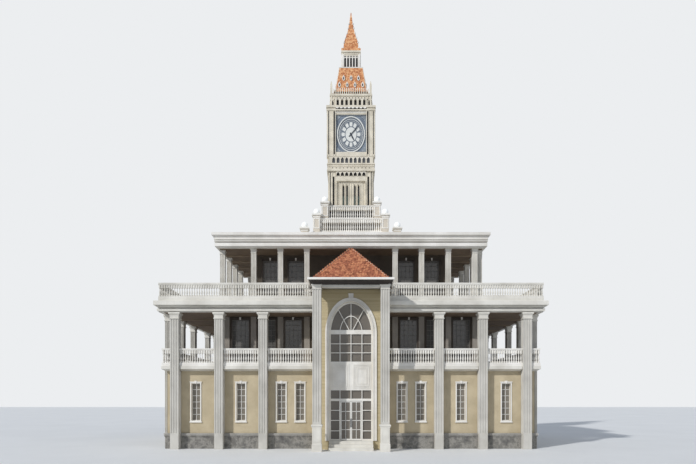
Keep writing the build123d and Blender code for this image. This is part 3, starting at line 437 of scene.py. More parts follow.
# Sizes that the CAD model gives
_, column_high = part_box("giant_columns")
_, side_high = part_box("side_columns")
gallery_low, gallery_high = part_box("gallery_balustrades")
parapet_low, parapet_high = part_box("terrace_parapet")
terrace_low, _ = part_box("terrace_entablature")
roof_low, roof_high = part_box("main_roof")
third_low, third_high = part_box("third_floor_columns")
eave_low, eave_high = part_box("portico_eaves")
porch_roof_low, porch_roof_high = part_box("portico_roof")
base_low, base_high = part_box("stone_base")
stage_low, stage_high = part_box("clock_stage")
soffit = terrace_low.z
tower_y = (stage_low.y + stage_high.y) / 2

# Sizes that repeat those of the solids
block_depth = 13.53
bay_half, bay_front = 2.1, -0.15
porch_rail_gap = 2.365
column_x = (5.0, 7.5, 10.0)
rear_extra_x = 2.5
side_column_y = (1.18, 3.69, 6.2, 9.84, 12.35)
side_half_x = 0.15
side_capital_out = 0.07
side_face = side_high.x - side_capital_out
side_centre = side_face - side_half_x
third_half = 0.15
third_front, third_back = 2.3, 10.1
third_x = (2.69, 4.3, 5.93)
third_corner_x = 7.54
third_side_y = [third_front + third_half * 3 + 0.02 + 1.785 * i for i in range(4)]
third_centre = 8.05 - third_half
pillar_x, pillar_y, pillar_half = 1.85, -1.215, 0.235
pedestal_top = 1.47

# Slimmer than the solids' 0.26, as the photo shows the column fronts
column_half = 0.24

# Columns: fluted square shafts, with a block at the foot and a flared capital
flutes, flute_depth, flute_slope, flute_share, fluted_part = 3, 0.03, 0.03, 0.62, 0.84
# Capital as shares of how far its top stands out and of its height
CAPITAL = [(0.45, 0), (0.5, 0.05), (0.45, 0.13), (0.14, 0.14)]
CAPITAL += cove_points((0.14, 0.34), (0.82, 0.7), 4) + [(0.82, 0.76), (1, 0.78), (1, 1)]


def fluted_loop(cx, cy, half_x, half_y, z, depth):
    """A square outline with vertical grooves on its four sides."""
    reach = flute_share * fluted_part / flutes / 2
    points = []
    corners = ((-1, -1), (1, -1), (1, 1), (-1, 1))
    for (ax, ay), (bx, by) in zip(corners, corners[1:] + corners[:1]):
        points.append((cx + ax * half_x, cy + ay * half_y, z))
        for i in range(flutes):
            middle = (i + 0.5) / flutes * fluted_part + (1 - fluted_part) / 2
            for step, sunk in ((-1, 0), (-0.6, depth), (0.6, depth), (1, 0)):
                t = middle + step * reach
                points.append((cx + (ax + (bx - ax) * t) * half_x - (ax + bx) / 2 * sunk,
                               cy + (ay + (by - ay) * t) * half_y - (ay + by) / 2 * sunk, z))
    return points


def fluted_column(batch, capitals, cx, cy, half_x, half_y, z0, z1, high, spread_out, foot):
    """A shaft with a plain foot, and a capital of this height whose top stands out so far."""
    cap = z1 - high
    low, high_end = z0 + foot, cap - 0.02
    shaft = ((z0, 0), (low, 0), (low + flute_slope, flute_depth), (high_end - flute_slope, flute_depth),
             (high_end, 0), (cap, 0))
    batch.stack([fluted_loop(cx, cy, half_x, half_y, z, depth) for z, depth in shaft])
    capitals.moulding(cx, cy, half_x, half_y, [(out * spread_out, cap + t * high) for out, t in CAPITAL])


giant_spots = [(x, column_half) for x in mirrored(column_x)]
giant_spots += [(x, block_depth - column_half) for x in mirrored((rear_extra_x,) + column_x)]
side_spots = [(s * side_centre, y) for s in (-1, 1) for y in side_column_y]
third_spots = [(x, third_front + third_half) for x in mirrored(third_x) + [third_corner_x]]
third_spots += [(x, third_back - third_half) for x in mirrored((0.9,) + third_x + (third_corner_x,))]
third_spots += [(s * third_centre, y) for s in (-1, 1) for y in third_side_y]
pillar_spots = [(s * pillar_x, pillar_y) for s in (-1, 1)]
COLUMNS = (
    # name, paint, solids, spots, then half widths, levels, capital's height and reach, plain foot
    ("fluted_columns", column_paint, "giant_columns", giant_spots,
     (column_half, column_half, 0, column_high.z, 0.37, 0.085, 0.89)),
    ("fluted_side_columns", column_paint, "side_columns", side_spots,
     (side_half_x, column_half, 0, side_high.z, 0.37, side_capital_out, 0.89)),
    ("third_floor_fluted_columns", white, "third_floor_columns", third_spots,
     (third_half, third_half, third_low.z, third_high.z, 0.26, 0.045, 0.2)),
    ("fluted_pillars", column_paint, "portico_pillars", pillar_spots,
     (pillar_half, pillar_half, pedestal_top, eave_low.z, 0.26, 0.06, 0.12)),
)
capital_batch = Batch()
for name, paint, solids, spots, sizes in COLUMNS:
    shafts = Batch()
    for x, y in spots:
        fluted_column(shafts, capital_batch, x, y, *sizes)
    shafts.build(name, paint, replaced=(solids,), slot="white_trim")

# Pedestals of the portico pillars: a moulded block with a raised frame on its front and rear
pedestal = [(0.035, 0), (0.035, 0.4), (0.01, 0.44), (0.01, 1.28), (0.03, 1.3), (0.03, 1.34),
            (0.065, 1.39), (0.065, 1.45), (0.04, pedestal_top), (0, pedestal_top)]
for x, y in pillar_spots:
    capital_batch.moulding(x, y, pillar_half, pillar_half, pedestal)
    for side in (front_at(y - pillar_half - 0.01), rear_at(y + pillar_half + 0.01)):
        face_boxes(capital_batch, side, frame_rows(x - 0.19, x + 0.19, 0.5, 1.22, 0.03, 0, 0.012))
capital_batch.build("capitals_and_pedestals", white, slot="white_trim")

# Balustrades: turned balusters between a moulded plinth and a moulded hand rail
baluster_pitch, baluster_sides = 0.138, 8
rail_half = 0.08
# Vase baluster as shares of its radius and height, from its wide foot to its wide head
VASE = ((1.36, 0), (1.36, 0.1), (0.6, 0.13), (0.65, 0.17), (1.0, 0.28), (1.05, 0.34), (0.85, 0.43),
        (0.55, 0.55), (0.48, 0.62), (0.65, 0.66), (0.55, 0.69), (1.36, 0.74), (1.36, 1.0))


def rail_band(batch, run, profile):
    """A straight bar along a run. The profile is (half-width share, level) from the bottom up."""
    (x0, y0), (x1, y1) = sorted(run)
    wide_x, wide_y = (0, rail_half) if y0 == y1 else (rail_half, 0)
    batch.stack([rect_loop(x0 - wide_x * k, y0 - wide_y * k, x1 + wide_x * k, y1 + wide_y * k, z)
                 for k, z in profile])


def turned_balustrade(batch, runs, z0, z1, plinth, rail, radius):
    foot, head = z0 + plinth, z1 - rail
    vase = [(radius * r, foot + (head - foot) * t) for r, t in VASE]
    for run in runs:
        rail_band(batch, run, [(1, z0), (1, z0 + 0.75 * plinth), (0.8, z0 + 0.85 * plinth), (0.8, foot)])
        rail_band(batch, run, [(0.72, head), (0.72, z1 - 0.8 * rail), (0.9, z1 - 0.65 * rail),
                               (1, z1 - 0.5 * rail), (1, z1 - 0.15 * rail), (0.85, z1)])
        (x0, y0), (x1, y1) = run
        count = max(1, round(math.dist(*run) / baluster_pitch))
        for i in range(count):
            t = (i + 0.5) / count
            batch.turned(x0 + (x1 - x0) * t, y0 + (y1 - y0) * t, vase, baluster_sides)


def between_columns(*places):
    """The free stretches between giant columns at these places."""
    return [(near + column_half, far - column_half) for near, far in zip(places, places[1:])]


rear_line = block_depth - column_half
past_corner = side_centre - rail_half + column_half
gallery_runs = [((a, rear_line), (b, rear_line)) for a, b in between_columns(-rear_extra_x, rear_extra_x)]
for s in (-1, 1):
    for y, first in ((column_half, bay_half - column_half), (rear_line, rear_extra_x)):
        gallery_runs += [((s * a, y), (s * b, y)) for a, b in between_columns(first, *column_x, past_corner)]
    gallery_runs += [((s * side_centre, a), (s * side_centre, b))
                     for a, b in between_columns(-rail_half, *side_column_y, block_depth + rail_half)]

parapet_front, parapet_back = parapet_low.y + rail_half, parapet_high.y - rail_half
parapet_runs = [((-parapet_high.x, parapet_back), (parapet_high.x, parapet_back))]
under_eaves = []
for s in (-1, 1):
    side_x = s * (parapet_high.x - rail_half)
    parapet_runs += [((s * porch_rail_gap, parapet_front), (s * parapet_high.x, parapet_front)),
                     ((side_x, parapet_front + rail_half), (side_x, parapet_back - rail_half))]
    under_eaves.append(((s * bay_half, parapet_front), (s * porch_rail_gap, parapet_front)))

# Podium piers: half width, then distance from the tower's middle and level of the cap's top
pier_half = 0.21
PIERS = ((2.9, 13.55), (2.19, 14.63), (1.685, 15.59))


def podium_runs(centre):
    """Four stretches of rail between piers that stand at this distance."""
    end = centre - pier_half
    return [run for s in (-1, 1) for run in (((-end, tower_y + s * centre), (end, tower_y + s * centre)),
                                             ((s * centre, tower_y - end), (s * centre, tower_y + end)))]


BALUSTRADES = (
    # name, paint, solids, then runs, levels, heights of plinth and rail, baluster radius
    ("gallery_turned_balustrades", white_crisp, "gallery_balustrades",
     [(gallery_runs, gallery_low.z, gallery_high.z, 0.2, 0.11, 0.042)]),
    ("parapet_turned_balustrades", white, "terrace_parapet",
     [(parapet_runs, parapet_low.z, parapet_high.z, 0.28, 0.14, 0.046),
      (under_eaves, parapet_low.z, eave_low.z - 0.005, 0.28, 0.04, 0.046)]),
    ("podium_turned_balustrades", white_crisp, "podium_balustrades",
     [(podium_runs(PIERS[1][0]), 13.45, 14.4, 0.12, 0.09, 0.042),
      (podium_runs(PIERS[2][0]), 14.45, 15.39, 0.12, 0.09, 0.042)]),
)
for name, paint, solids, stretches in BALUSTRADES:
    rails = Batch()
    for stretch in stretches:
        turned_balustrade(rails, *stretch)
    rails.build(name, paint, replaced=(solids,), slot="white_trim")


# Cornices, as rings of offsets and levels
def terrace_loop(out_x, out_y, z):
    """Outline of the terrace slab, with the notch for the entrance bay."""
    reach, front, back, notch = side_face + out_x, -out_y, block_depth + out_y, -bay_front
    return [(-reach, front, z), (-bay_half, front, z), (-bay_half, notch, z), (bay_half, notch, z),
            (bay_half, front, z), (reach, front, z), (reach, back, z), (-reach, back, z)]


# Offsets at the sides, offsets at front and rear, and heights over the soffit
terrace_profile = [(0.02, 0.02, 0), (0.02, 0.02, 0.055), (0.08, 0.14, 0.06), (0.08, 0.14, 0.19),
                   (-0.06, -0.05, 0.195), (-0.06, -0.05, 0.235), (0.06, 0.1, 0.24)]
terrace_profile += [(x, y, z) for (x, z), (y, _) in zip(cove_points((0.06, 0.245), (0.14, 0.3), 6),
                                                       cove_points((0.1, 0.245), (0.28, 0.3), 6))]
terrace_profile += [(0.14, 0.28, 0.315), (0.12, 0.25, 0.32), (0.12, 0.25, 0.335), (0.19, 0.38, 0.34),
                    (0.2, 0.4, 0.36), (0.2, 0.4, 0.56), (0.18, 0.37, 0.6)]
terrace_batch = Batch()
terrace_batch.stack([terrace_loop(x, y, soffit + z) for x, y, z in terrace_profile])
terrace_batch.build("terrace_moulded_entablature", white, replaced=("terrace_entablature",),
                    slot="white_trim")

roof_profile = [(0.27, roof_low.z), (0.27, 12.05), (0.16, 12.06), (0.16, 12.26), (0.38, 12.27), (0.38, 12.33),
                (0.13, 12.335), (0.13, 12.39), (0.3, 12.395), (0.3, 12.44), (0.12, 12.445), (0.12, 12.51)]
roof_profile += cove_points((0.15, 12.52), (0.05, 12.68), 6) + [(0.0, 12.69), (0.0, roof_high.z)]
roof_batch = Batch()
roof_batch.stack([rect_loop(roof_low.x + inset, roof_low.y + inset, roof_high.x - inset,
                            roof_high.y - inset, z) for inset, z in roof_profile])
roof_batch.build("moulded_main_roof", white_crisp, replaced=("main_roof",), slot="white_trim")


# Clay tiles: courses of barrel tiles on a sloping face
def unit(vector):
    size = math.sqrt(sum(v * v for v in vector))
    return tuple(v / size for v in vector)


def cross(a, b):
    return (a[1] * b[2] - a[2] * b[1], a[2] * b[0] - a[0] * b[2], a[0] * b[1] - a[1] * b[0])


def part_way(a, b, t):
    return [p + (q - p) * t for p, q in zip(a, b)]


def tile_course(batch, start, end, up, normal, exposure, width, thickness):
    """Barrel tiles side by side from start to end, lapping the course above."""
    length = math.dist(start, end)
    count = max(1, round(length / width))
    along = [(e - s) / length for s, e in zip(start, end)]
    wide = length / count

    def placed(u, v, h):
        return tuple(start[c] + along[c] * u + up[c] * v + normal[c] * h for c in range(3))

    for i in range(count):
        verts = [placed(wide * (i + 0.5 - 0.48 * math.cos(a)), v, lift + thickness * 0.9 * math.sin(a))
                 for v, lift in ((0, thickness), (exposure * 1.12, thickness * 0.35))
                 for a in [math.pi * k / 4 for k in range(5)]]
        verts += [placed(wide * (i + 0.5 + t), 0, -0.002) for t in (-0.48, 0.48)]
        batch.add(verts, [(k, k + 1, k + 6, k + 5) for k in range(4)] + [(4, 3, 2, 1, 0, 10, 11)])


def tiled_face(batch, foot_a, foot_b, head_a, head_b, exposure, width, thickness):
    """Tile courses on a face with a level foot and a level head."""
    foot_mid, head_mid = part_way(foot_a, foot_b, 0.5), part_way(head_a, head_b, 0.5)
    slope = math.dist(foot_mid, head_mid)
    up = unit([h - f for f, h in zip(foot_mid, head_mid)])
    normal = unit(cross(unit([b - a for a, b in zip(foot_a, foot_b)]), up))
    rows = max(1, round(slope / exposure))
    for k in range(rows):
        start, end = part_way(foot_a, head_a, k / rows), part_way(foot_b, head_b, k / rows)
        if math.dist(start, end) > width * 0.4:
            tile_course(batch, start, end, up, normal, slope / rows, width, thickness)


def hip(batch, foot, head, radius, sides=6):
    """A ridge cap along a hip, as a round bar with a blunt end."""
    axis = unit([h - f for f, h in zip(foot, head)])
    side = unit((-axis[1], axis[0], 0))
    upper = cross(side, axis)
    turns = [2 * math.pi * i / sides for i in range(sides)]
    ring = [[radius * (math.cos(a) * s + math.sin(a) * u) for s, u in zip(side, upper)] for a in turns]
    batch.stack([[tuple(p + r for p, r in zip(point, reach)) for reach in ring] for point in (foot, head)])


def tiled_pyramid(batch, hips, y, foot, head, exposure, width, thickness, hip_radius):
    """Four tiled faces between two (half_x, half_y, level) outlines, which it returns."""
    feet, heads = [square_loop(0, y, *end) for end in (foot, head)]
    for i in range(4):
        j = (i + 1) % 4
        tiled_face(batch, feet[i], feet[j], heads[i], heads[j], exposure, width, thickness)
        hip(hips, feet[i], heads[i], hip_radius)
    return feet, heads


porch_tiles, porch_hips = Batch(), Batch()
porch_foot = (porch_roof_high.x - 0.06, (porch_roof_high.y - porch_roof_low.y) / 2 - 0.06, porch_roof_low.z)
porch_tiles.stack(tiled_pyramid(
    porch_tiles, porch_hips, (porch_roof_low.y + porch_roof_high.y) / 2, porch_foot,
    (0.03, 0.03, porch_roof_high.z - 0.06), 0.17, 0.15, 0.018, 0.03))
porch_tiles.build("porch_roof_tiles", clay_porch, replaced=("portico_roof",), slot="clay_tiles")
porch_hips.build("porch_hip_tiles", clay_hip, slot="clay_tiles")

# Tower roof with its bell-cast foot, and the spire: half widths and levels
TOWER_ROOF = ((1.22, 22.83), (1.02, 23.25), (0.765, 24.9))
SPIRE = ((0.51, 26.3), (0.455, 26.8), (0.31, 27.33), (0.215, 27.68), (0.14, 28.14), (0.085, 28.44),
         (0.055, 28.76), (0.025, 29.1))
tower_tiles, tower_hips, spire_tiles = Batch(), Batch(), Batch()
for (half, z0), (head_half, z1) in zip(TOWER_ROOF, TOWER_ROOF[1:]):
    tower_tiles.stack(tiled_pyramid(tower_tiles, tower_hips, tower_y, (half, half, z0),
                                    (head_half, head_half, z1), 0.14, 0.115, 0.012, 0.026))
tower_tiles.build("tower_roof_tiles", clay_tower, slot="clay_tiles")
tower_hips.build("tower_hip_tiles", clay_hip, slot="clay_tiles")
for (half, z0), (head_half, z1) in zip(SPIRE[:-2], SPIRE[1:]):
    tiled_pyramid(spire_tiles, spire_tiles, tower_y, (half, half, z0), (head_half, head_half, z1),
                  0.11, 0.09, 0.008, 0.014)
spire_tiles.build("spire_tiles", clay_tower, slot="clay_tiles")

# Windows: sashes with glazing bars, sills, caps and keystones on the four sides of each storey
WINDOW_ROWS = (
    # width and height over the trim, sill, wall, front, rear and side faces, the spots on them, panes, bars
    (0.63, 2.26, 1.55, 0.35, 0.52, 13.01, 10.55, mirrored((2.93, 4.01, 6.33, 8.92)),
     mirrored((3.75, 6.25, 8.75, 0.6)), (2.435, 4.945, 7.35, 8.69, 11.095), (2, 6), 0.026),
    (1.135, 2.57, 5.05, 0.3, 1.6, 11.93, 7.55, mirrored((3.44, 5.0, 6.58)),
     mirrored((1.72, 3.44, 5.0, 6.58)) + [0], spread(3.1, block_depth - 3.1, 5), (4, 8), 0.02),
    (1.11, 2.16, 9.55, 0.3, 3.8, 8.6, 6.0, mirrored((3.5, 5.13)),
     mirrored((1.75, 3.5, 5.13)) + [0], (5.0, 7.4), (4, 6), 0.02),
)
window_trim = 0.06
sash_width, sash_depth = 0.032, 0.045


def sash(batch, at, centre, wide, low, high, back, panes, bar):
    """A sash frame with glazing bars, just in front of the glass."""
    left, right, front = centre - wide / 2, centre + wide / 2, back + sash_depth
    face_boxes(batch, at, frame_rows(left, right, low, high, sash_width, back, front))
    across, up = panes
    for i in range(1, across):
        u = left + wide * i / across
        face_box(batch, at, u - bar / 2, u + bar / 2, low, high, back, front - 0.012)
    for i in range(1, up):
        z = low + (high - low) * i / up
        face_box(batch, at, left, right, z - bar / 2, z + bar / 2, back, front - 0.012)


def window_cap(batch, at, centre, half, low, high):
    """A sill and a small moulded cap on a casing."""
    for lap, z0, z1, out in ((0.03, low - 0.05, low + 0.02, 0.075), (0.02, high - 0.02, high + 0.02, 0.06),
                             (0.035, high + 0.02, high + 0.045, 0.075)):
        face_box(batch, at, centre - half - lap, centre + half + lap, z0, z1, 0, out)


sashes, caps, upper_sashes, upper_caps, keystones = [Batch() for _ in range(5)]
for row, (wide, high, sill, wall, front, rear, side, *spots, panes, bar) in enumerate(WINDOW_ROWS):
    bars_batch, ledge_batch = (upper_sashes, upper_caps) if row else (sashes, caps)
    head = sill + high
    faces = (front_at(front), rear_at(rear), right_at(side), left_at(side))
    for at, places in zip(faces, spots + spots[-1:]):
        for centre in places:
            sash(bars_batch, at, centre, wide - 2 * window_trim, sill + window_trim, head - window_trim,
                 -wall / 2, panes, bar)
            window_cap(ledge_batch, at, centre, wide / 2, sill, head)
            face_prism(keystones, at, [(centre + u, head + z) for u, z in (
                (-0.035, -0.07), (0.035, -0.07), (0.055, 0.09), (-0.055, 0.09))], 0.02, 0.085)
sashes.build("ground_window_sashes", white_metal, slot="white_trim")
upper_sashes.build("upper_window_sashes", sash_grey, slot="white_trim")
caps.build("window_sills_and_caps", white_crisp, slot="white_trim")
# Caps of the upper windows take the casings' painted shade
upper_caps.build("upper_window_caps", upper_casing_shade, slot="white_trim")
keystones.build("window_keystones", white_crisp, slot="white_trim")

# Veranda ceilings: brown boards in panels between pale ribs
board_thickness, rib_half, rib_height = 0.02, 0.06, 0.03
ceilings, ribs = Batch(), Batch()
for x, y0, y1, level, wall_x, wall_front, wall_rear, notch, rib_step in (
    # half width, front and rear edge, level, the same three of the walls, the bay's notch, step of the ribs
    (10.6, 0.1, block_depth - 0.1, soffit, 7.55, 1.6, 11.93, bay_half, 2.5),
    (8.0, 2.35, 10.05, roof_low.z, 6.0, 3.8, 8.6, 0, 1.6),
):
    panels = [(-x, wall_rear, x, y1)]
    panels += [(u0, wall_front, u1, wall_rear) for u0, u1 in ((-x, -wall_x), (wall_x, x))]
    fronts = ((-x, -notch), (notch, x)) if notch else ((-x, x),)
    panels += [(u0, y0, u1, wall_front) for u0, u1 in fronts]
    under = level - board_thickness
    for px0, py0, px1, py1 in panels:
        ceilings.box((px0, py0, under), (px1, py1, level))
    for y in spread(y0, y1, round((y1 - y0) / rib_step) + 1)[1:-1]:
        for rx0, rx1 in ((-x, -wall_x), (wall_x, x)):
            ribs.box((rx0, y - rib_half, under - rib_height), (rx1, y + rib_half, under))
ceilings.build("veranda_ceilings", brown_boards)
ribs.build("veranda_ceiling_ribs", brown_rib)


# Portico eaves: a white edge over a cove, with a boarded underside; cove and underside are the boards' brown
# with painted shade
def eave_loop(inset, z):
    return rect_loop(eave_low.x + inset, eave_low.y + inset, eave_high.x - inset, eave_high.y, z)


eave_inset, batten_half = 0.3, 0.012
eave_edge, eave_cove, porch_ceiling = Batch(), Batch(), Batch()
eave_edge.stack([eave_loop(inset, z) for inset, z in ((0.03, 9.2), (0, 9.21), (0, 9.3), (0.02, eave_high.z))])
cove_profile = [(eave_inset, eave_low.z)] + cove_points((0.28, 9.05), (0.06, 9.19), 5) + [(0.06, 9.2)]
eave_cove.stack([eave_loop(inset, z) for inset, z in cove_profile])
eave_edge.build("portico_eave_edge", white_crisp, replaced=("portico_eaves",), slot="white_trim")
eave_cove.build("portico_eave_cove", shaded_soffit_boards, slot="white_trim")
left_end, front_end, rear_end = eave_low.x + eave_inset, eave_low.y + eave_inset, bay_front - 0.01
porch_ceiling.box((left_end, front_end, eave_low.z - 0.02), (eave_high.x - eave_inset, rear_end, eave_low.z))
for x in spread(left_end, -left_end, 13)[1:-1]:
    porch_ceiling.box((x - batten_half, front_end, eave_low.z - 0.03),
                      (x + batten_half, rear_end, eave_low.z - 0.02))
porch_ceiling.build("portico_ceiling", shaded_soffit_boards)

# Ledge and bead round the top of the stone base
base_trim = Batch()
ledge_sunk = 0.03
front, back = base_low.y + ledge_sunk, base_high.y - ledge_sunk
for z0, z1, out in ((0.815, 0.875, 0.035), (0.755, 0.775, 0.02)):
    outer = base_high.x + out
    for s in (-1, 1):
        for inner, y0, y1 in ((bay_half, base_low.y - out, front), (base_high.x - ledge_sunk, front, back)):
            x0, x1 = sorted((s * inner, s * outer))
            base_trim.box((x0, y0, z0), (x1, y1, z1))
    base_trim.box((base_low.x - out, back, z0), (outer, base_high.y + out, z1))
base_trim.build("base_ledge", base_moulding, slot="stone")

# Siding: lapped boards on the entrance bay, round the arch
arch_half, arch_spring, arch_rise, arch_trim = 1.23, 6.55, 1.78, 0.22
siding_foot, siding_top, board_pitch = 0.5, eave_low.z, 0.1
# Lowest and highest level and rear end of the boards on the bay's sides, storey by storey
SIDE_BOARDS = ((0, 4.45, 0.52), (4.72, 7.76, 1.6), (8.36, siding_top + 1, 2.2))


def board(batch, at, u0, u1, z0, z1):
    """One lapped board: thick at its foot and thin at its head."""
    profile = ((z0, 0.0), (z0, 0.016), (z1, 0.004), (z1, 0.0))
    batch.stack([[at(u, z, out) for z, out in profile] for u in (u0, u1)])


def trim_edge(level):
    """Half width of the arch trim's outline at a level, or nothing above it."""
    share = max(level - arch_spring, 0) / (arch_rise + arch_trim)
    return (arch_half + arch_trim) * math.sqrt(1 - share * share) if share < 1 else 0


board_batch = Batch()
board_levels = spread(siding_foot, siding_top, round((siding_top - siding_foot) / board_pitch) + 1)
for low, high in zip(board_levels, board_levels[1:]):
    for s in (-1, 1):
        board(board_batch, front_at(bay_front), s * max(trim_edge(low), 0.001), s * bay_half, low, high)
    for z0, z1, back in SIDE_BOARDS:
        if z0 < low and high < z1:
            for at in (right_at(bay_half), left_at(bay_half)):
                board(board_batch, at, bay_front, back, low, high)
board_batch.build("siding_boards", boards, slot="siding")


# Mouldings of the arch trim: two raised rims along its inner and outer edges, and a bead between them
def arch_path(half, rise, steps=28):
    turns = [math.pi * i / steps for i in range(steps + 1)]
    curve = [(-half * math.cos(a), arch_spring + rise * math.sin(a)) for a in turns]
    return [(-half, siding_foot)] + curve + [(half, siding_foot)]


rims = Batch()
for grow, width, proud in ((0, 0.05, 0.03), (0.15, 0.07, 0.025), (0.075, 0.03, 0.014)):
    inner, outer = [arch_path(arch_half + grow + w, arch_rise + grow + w) for w in (0, width)]
    ribbon(rims, front_at(bay_front - 0.06), inner, outer, 0, proud)
rims.build("arch_trim_mouldings", white_crisp, slot="white_trim")

# Glazing bars and pulls of the two door leaves
hinge_x, leaf_width = 0.59, 0.583
leaf_pane_half, level_bar_half, post_half, pull_radius = 0.236, 0.016, 0.014, 0.011
for side, s in (("left", -1), ("right", 1)):
    leaf_low, leaf_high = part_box(f"{side}_door_leaf")
    bars, pull = Batch(), Batch()
    middle = s * (hinge_x - leaf_width / 2)
    low, high = leaf_low.z + 0.09, leaf_high.z - 0.06
    rows = [(middle - leaf_pane_half, middle + leaf_pane_half, z - level_bar_half, z + level_bar_half)
            for z in spread(low, high, 5)[1:-1]] + [(middle - post_half, middle + post_half, low, high)]
    face_boxes(bars, front_at(leaf_low.y), [(*row, -0.024, -0.004) for row in rows])
    bars.build(f"{side}_door_bars", white_metal, body=f"{side}_door", slot="door_paint")
    x, y = s * (hinge_x - leaf_width + 0.028), leaf_low.y - 0.035
    pull.turned(x, y, ((pull_radius, 1.25), (pull_radius, 1.75)), 10)
    for z in (1.3, 1.7):
        pull.box((x - 0.007, y, z - 0.007), (x + 0.007, leaf_low.y + 0.004, z + 0.007))
    pull.build(f"{side}_door_pull", hand_paint, body=f"{side}_door", smooth=True, slot="door_paint")


# Tower: faces of its square stages, with u from the tower's middle line
def tower_faces(half):
    return (lambda u, z, out: (u, tower_y - half - out, z),
            lambda u, z, out: (-u, tower_y + half + out, z),
            lambda u, z, out: (half + out, tower_y + u, z),
            lambda u, z, out: (-half - out, tower_y - u, z))


def face_spots(half, spots):
    """Each face of a stage with each of these places along it."""
    return [(at, u) for at in tower_faces(half) for u in spots]


def tower_corners(half):
    return [(sx * half, tower_y + sy * half) for sx in (-1, 1) for sy in (-1, 1)]


def paired(*rows):
    """Rows of blocks beside the middle line, on both sides of it."""
    return [(s * u0, s * u1, *rest) for s in (-1, 1) for u0, u1, *rest in rows]


def centred(*rows):
    """Rows of blocks across the middle line, from their half widths."""
    return [(-half, half, *rest) for half, *rest in rows]


def strips(z0, z1, *rows):
    """Rows of upright blocks, from their middles, widths and distances out."""
    return [(u - wide / 2, u + wide / 2, z0, z1, 0, proud) for u, wide, proud in rows]


def lancet_outline(u, width, z0, z1):
    """A slot with a pointed arch head."""
    turns = [math.pi * k / 8 for k in range(9)]
    head = [(u + width / 2 * math.copysign(abs(math.cos(a)) ** 0.8, math.cos(a)),
             z1 - width + width * math.sin(a)) for a in turns]
    return [(u - width / 2, z0), (u + width / 2, z0)] + head


def oval(cu, cz, rx, ry, sides, turn=2 * math.pi):
    turns = [turn * i / sides for i in range(sides + 1)]
    return [(cu + rx * math.cos(a), cz + ry * math.sin(a)) for a in turns]


def disc(batch, at, cu, cz, rx, ry, out0, out1, sides):
    face_prism(batch, at, oval(cu, cz, rx, ry, sides)[:-1], out0, out1)


def oval_ring(batch, at, cu, cz, inner, outer, out0, out1, sides):
    """A ring between two ellipses given by their half axes."""
    ribbon(batch, at, oval(cu, cz, *inner, sides), oval(cu, cz, *outer, sides), out0, out1)


# Dials: a grey plate in a sunk square, white rings, a centre, twelve panes and a ring of small marks
stage_half, recess_depth = 1.55, 0.12
dial_z, dial_rx, dial_ry, dial_sides = 20.13, 0.88, 1.147, 48
square_half, square_low, square_high, square_edge = 1.0, 18.95, 21.4, 0.045
backing, plate_face, pane_face = 0.012, 0.034, 0.04
# Inner and outer half axes as shares of the dial's, and distances out
DIAL_RINGS = ((0.965, 0.97, 1.04, 1.028, backing, 0.07), (0.86, 0.86, 0.885, 0.885, plate_face, pane_face),
              (0.76, 0.76, 0.775, 0.775, plate_face, pane_face))
# How often each pane is repeated, and its corners as a share of the radius and a turn
DIAL_PANES = ((12, ((0.47, -0.2), (0.69, -0.16), (0.705, 0), (0.69, 0.16), (0.47, 0.2))),
              (48, ((0.825, -0.008), (0.855, -0.008), (0.855, 0.008), (0.825, 0.008))))
# Leaf in the corners of the square: place along and distance from its upper or lower edge
LEAF = ((0.93, 0.07), (0.66, 0.1), (0.72, 0.17), (0.79, 0.21), (0.84, 0.3), (0.9, 0.42))
surround, plates, white_rings, dial_panels, ornament = [Batch() for _ in range(5)]
for at in tower_faces(stage_half - recess_depth):
    face_box(surround, at, -square_half, square_half, square_low, square_high, 0, backing)
    disc(plates, at, 0, dial_z, dial_rx, dial_ry, backing, plate_face, dial_sides)
    for in_x, in_y, out_x, out_y, out0, out1 in DIAL_RINGS:
        oval_ring(white_rings, at, 0, dial_z, (in_x * dial_rx, in_y * dial_ry),
                  (out_x * dial_rx, out_y * dial_ry), out0, out1, dial_sides)
    disc(dial_panels, at, 0, dial_z, 0.41 * dial_rx, 0.41 * dial_ry, plate_face, pane_face, 36)
    for count, corners in DIAL_PANES:
        for middle in [2 * math.pi * i / count for i in range(count)]:
            outline = [(r * dial_rx * math.cos(middle + t), dial_z + r * dial_ry * math.sin(middle + t))
                       for r, t in corners]
            face_prism(dial_panels, at, outline, plate_face, pane_face)
    inner = square_half - square_edge
    face_boxes(ornament, at, paired((inner, square_half, square_low, square_high, backing, 0.05), *[
        (0, inner, z, z + square_edge, backing, 0.05) for z in (square_low, square_high - square_edge)]))
    for s in (-1, 1):
        for t, z in ((1, square_high), (-1, square_low)):
            face_prism(ornament, at, [(s * u, z - t * away) for u, away in LEAF], backing, 0.03)
            oval_ring(ornament, at, s * 0.84, z - t * 0.2, (0.035, 0.045), (0.055, 0.07), 0.03, 0.045, 12)
surround.build("dial_surrounds", slate_blue)
plates.build("dial_plates", slate_dark, replaced=("clock_dials",), slot="dial_face")
white_rings.build("dial_rings", dial_white, slot="dial_face")
dial_panels.build("dial_panels", dial_white, slot="dial_face")
ornament.build("dial_corner_ornament", slate_pale)

# Carved details of the stone stages
arcade_half, band_half, shaft_half, belfry_half, lantern_half = 1.45, 1.52, 1.44, 1.33, 0.61
lancet_half = shaft_half - 0.07
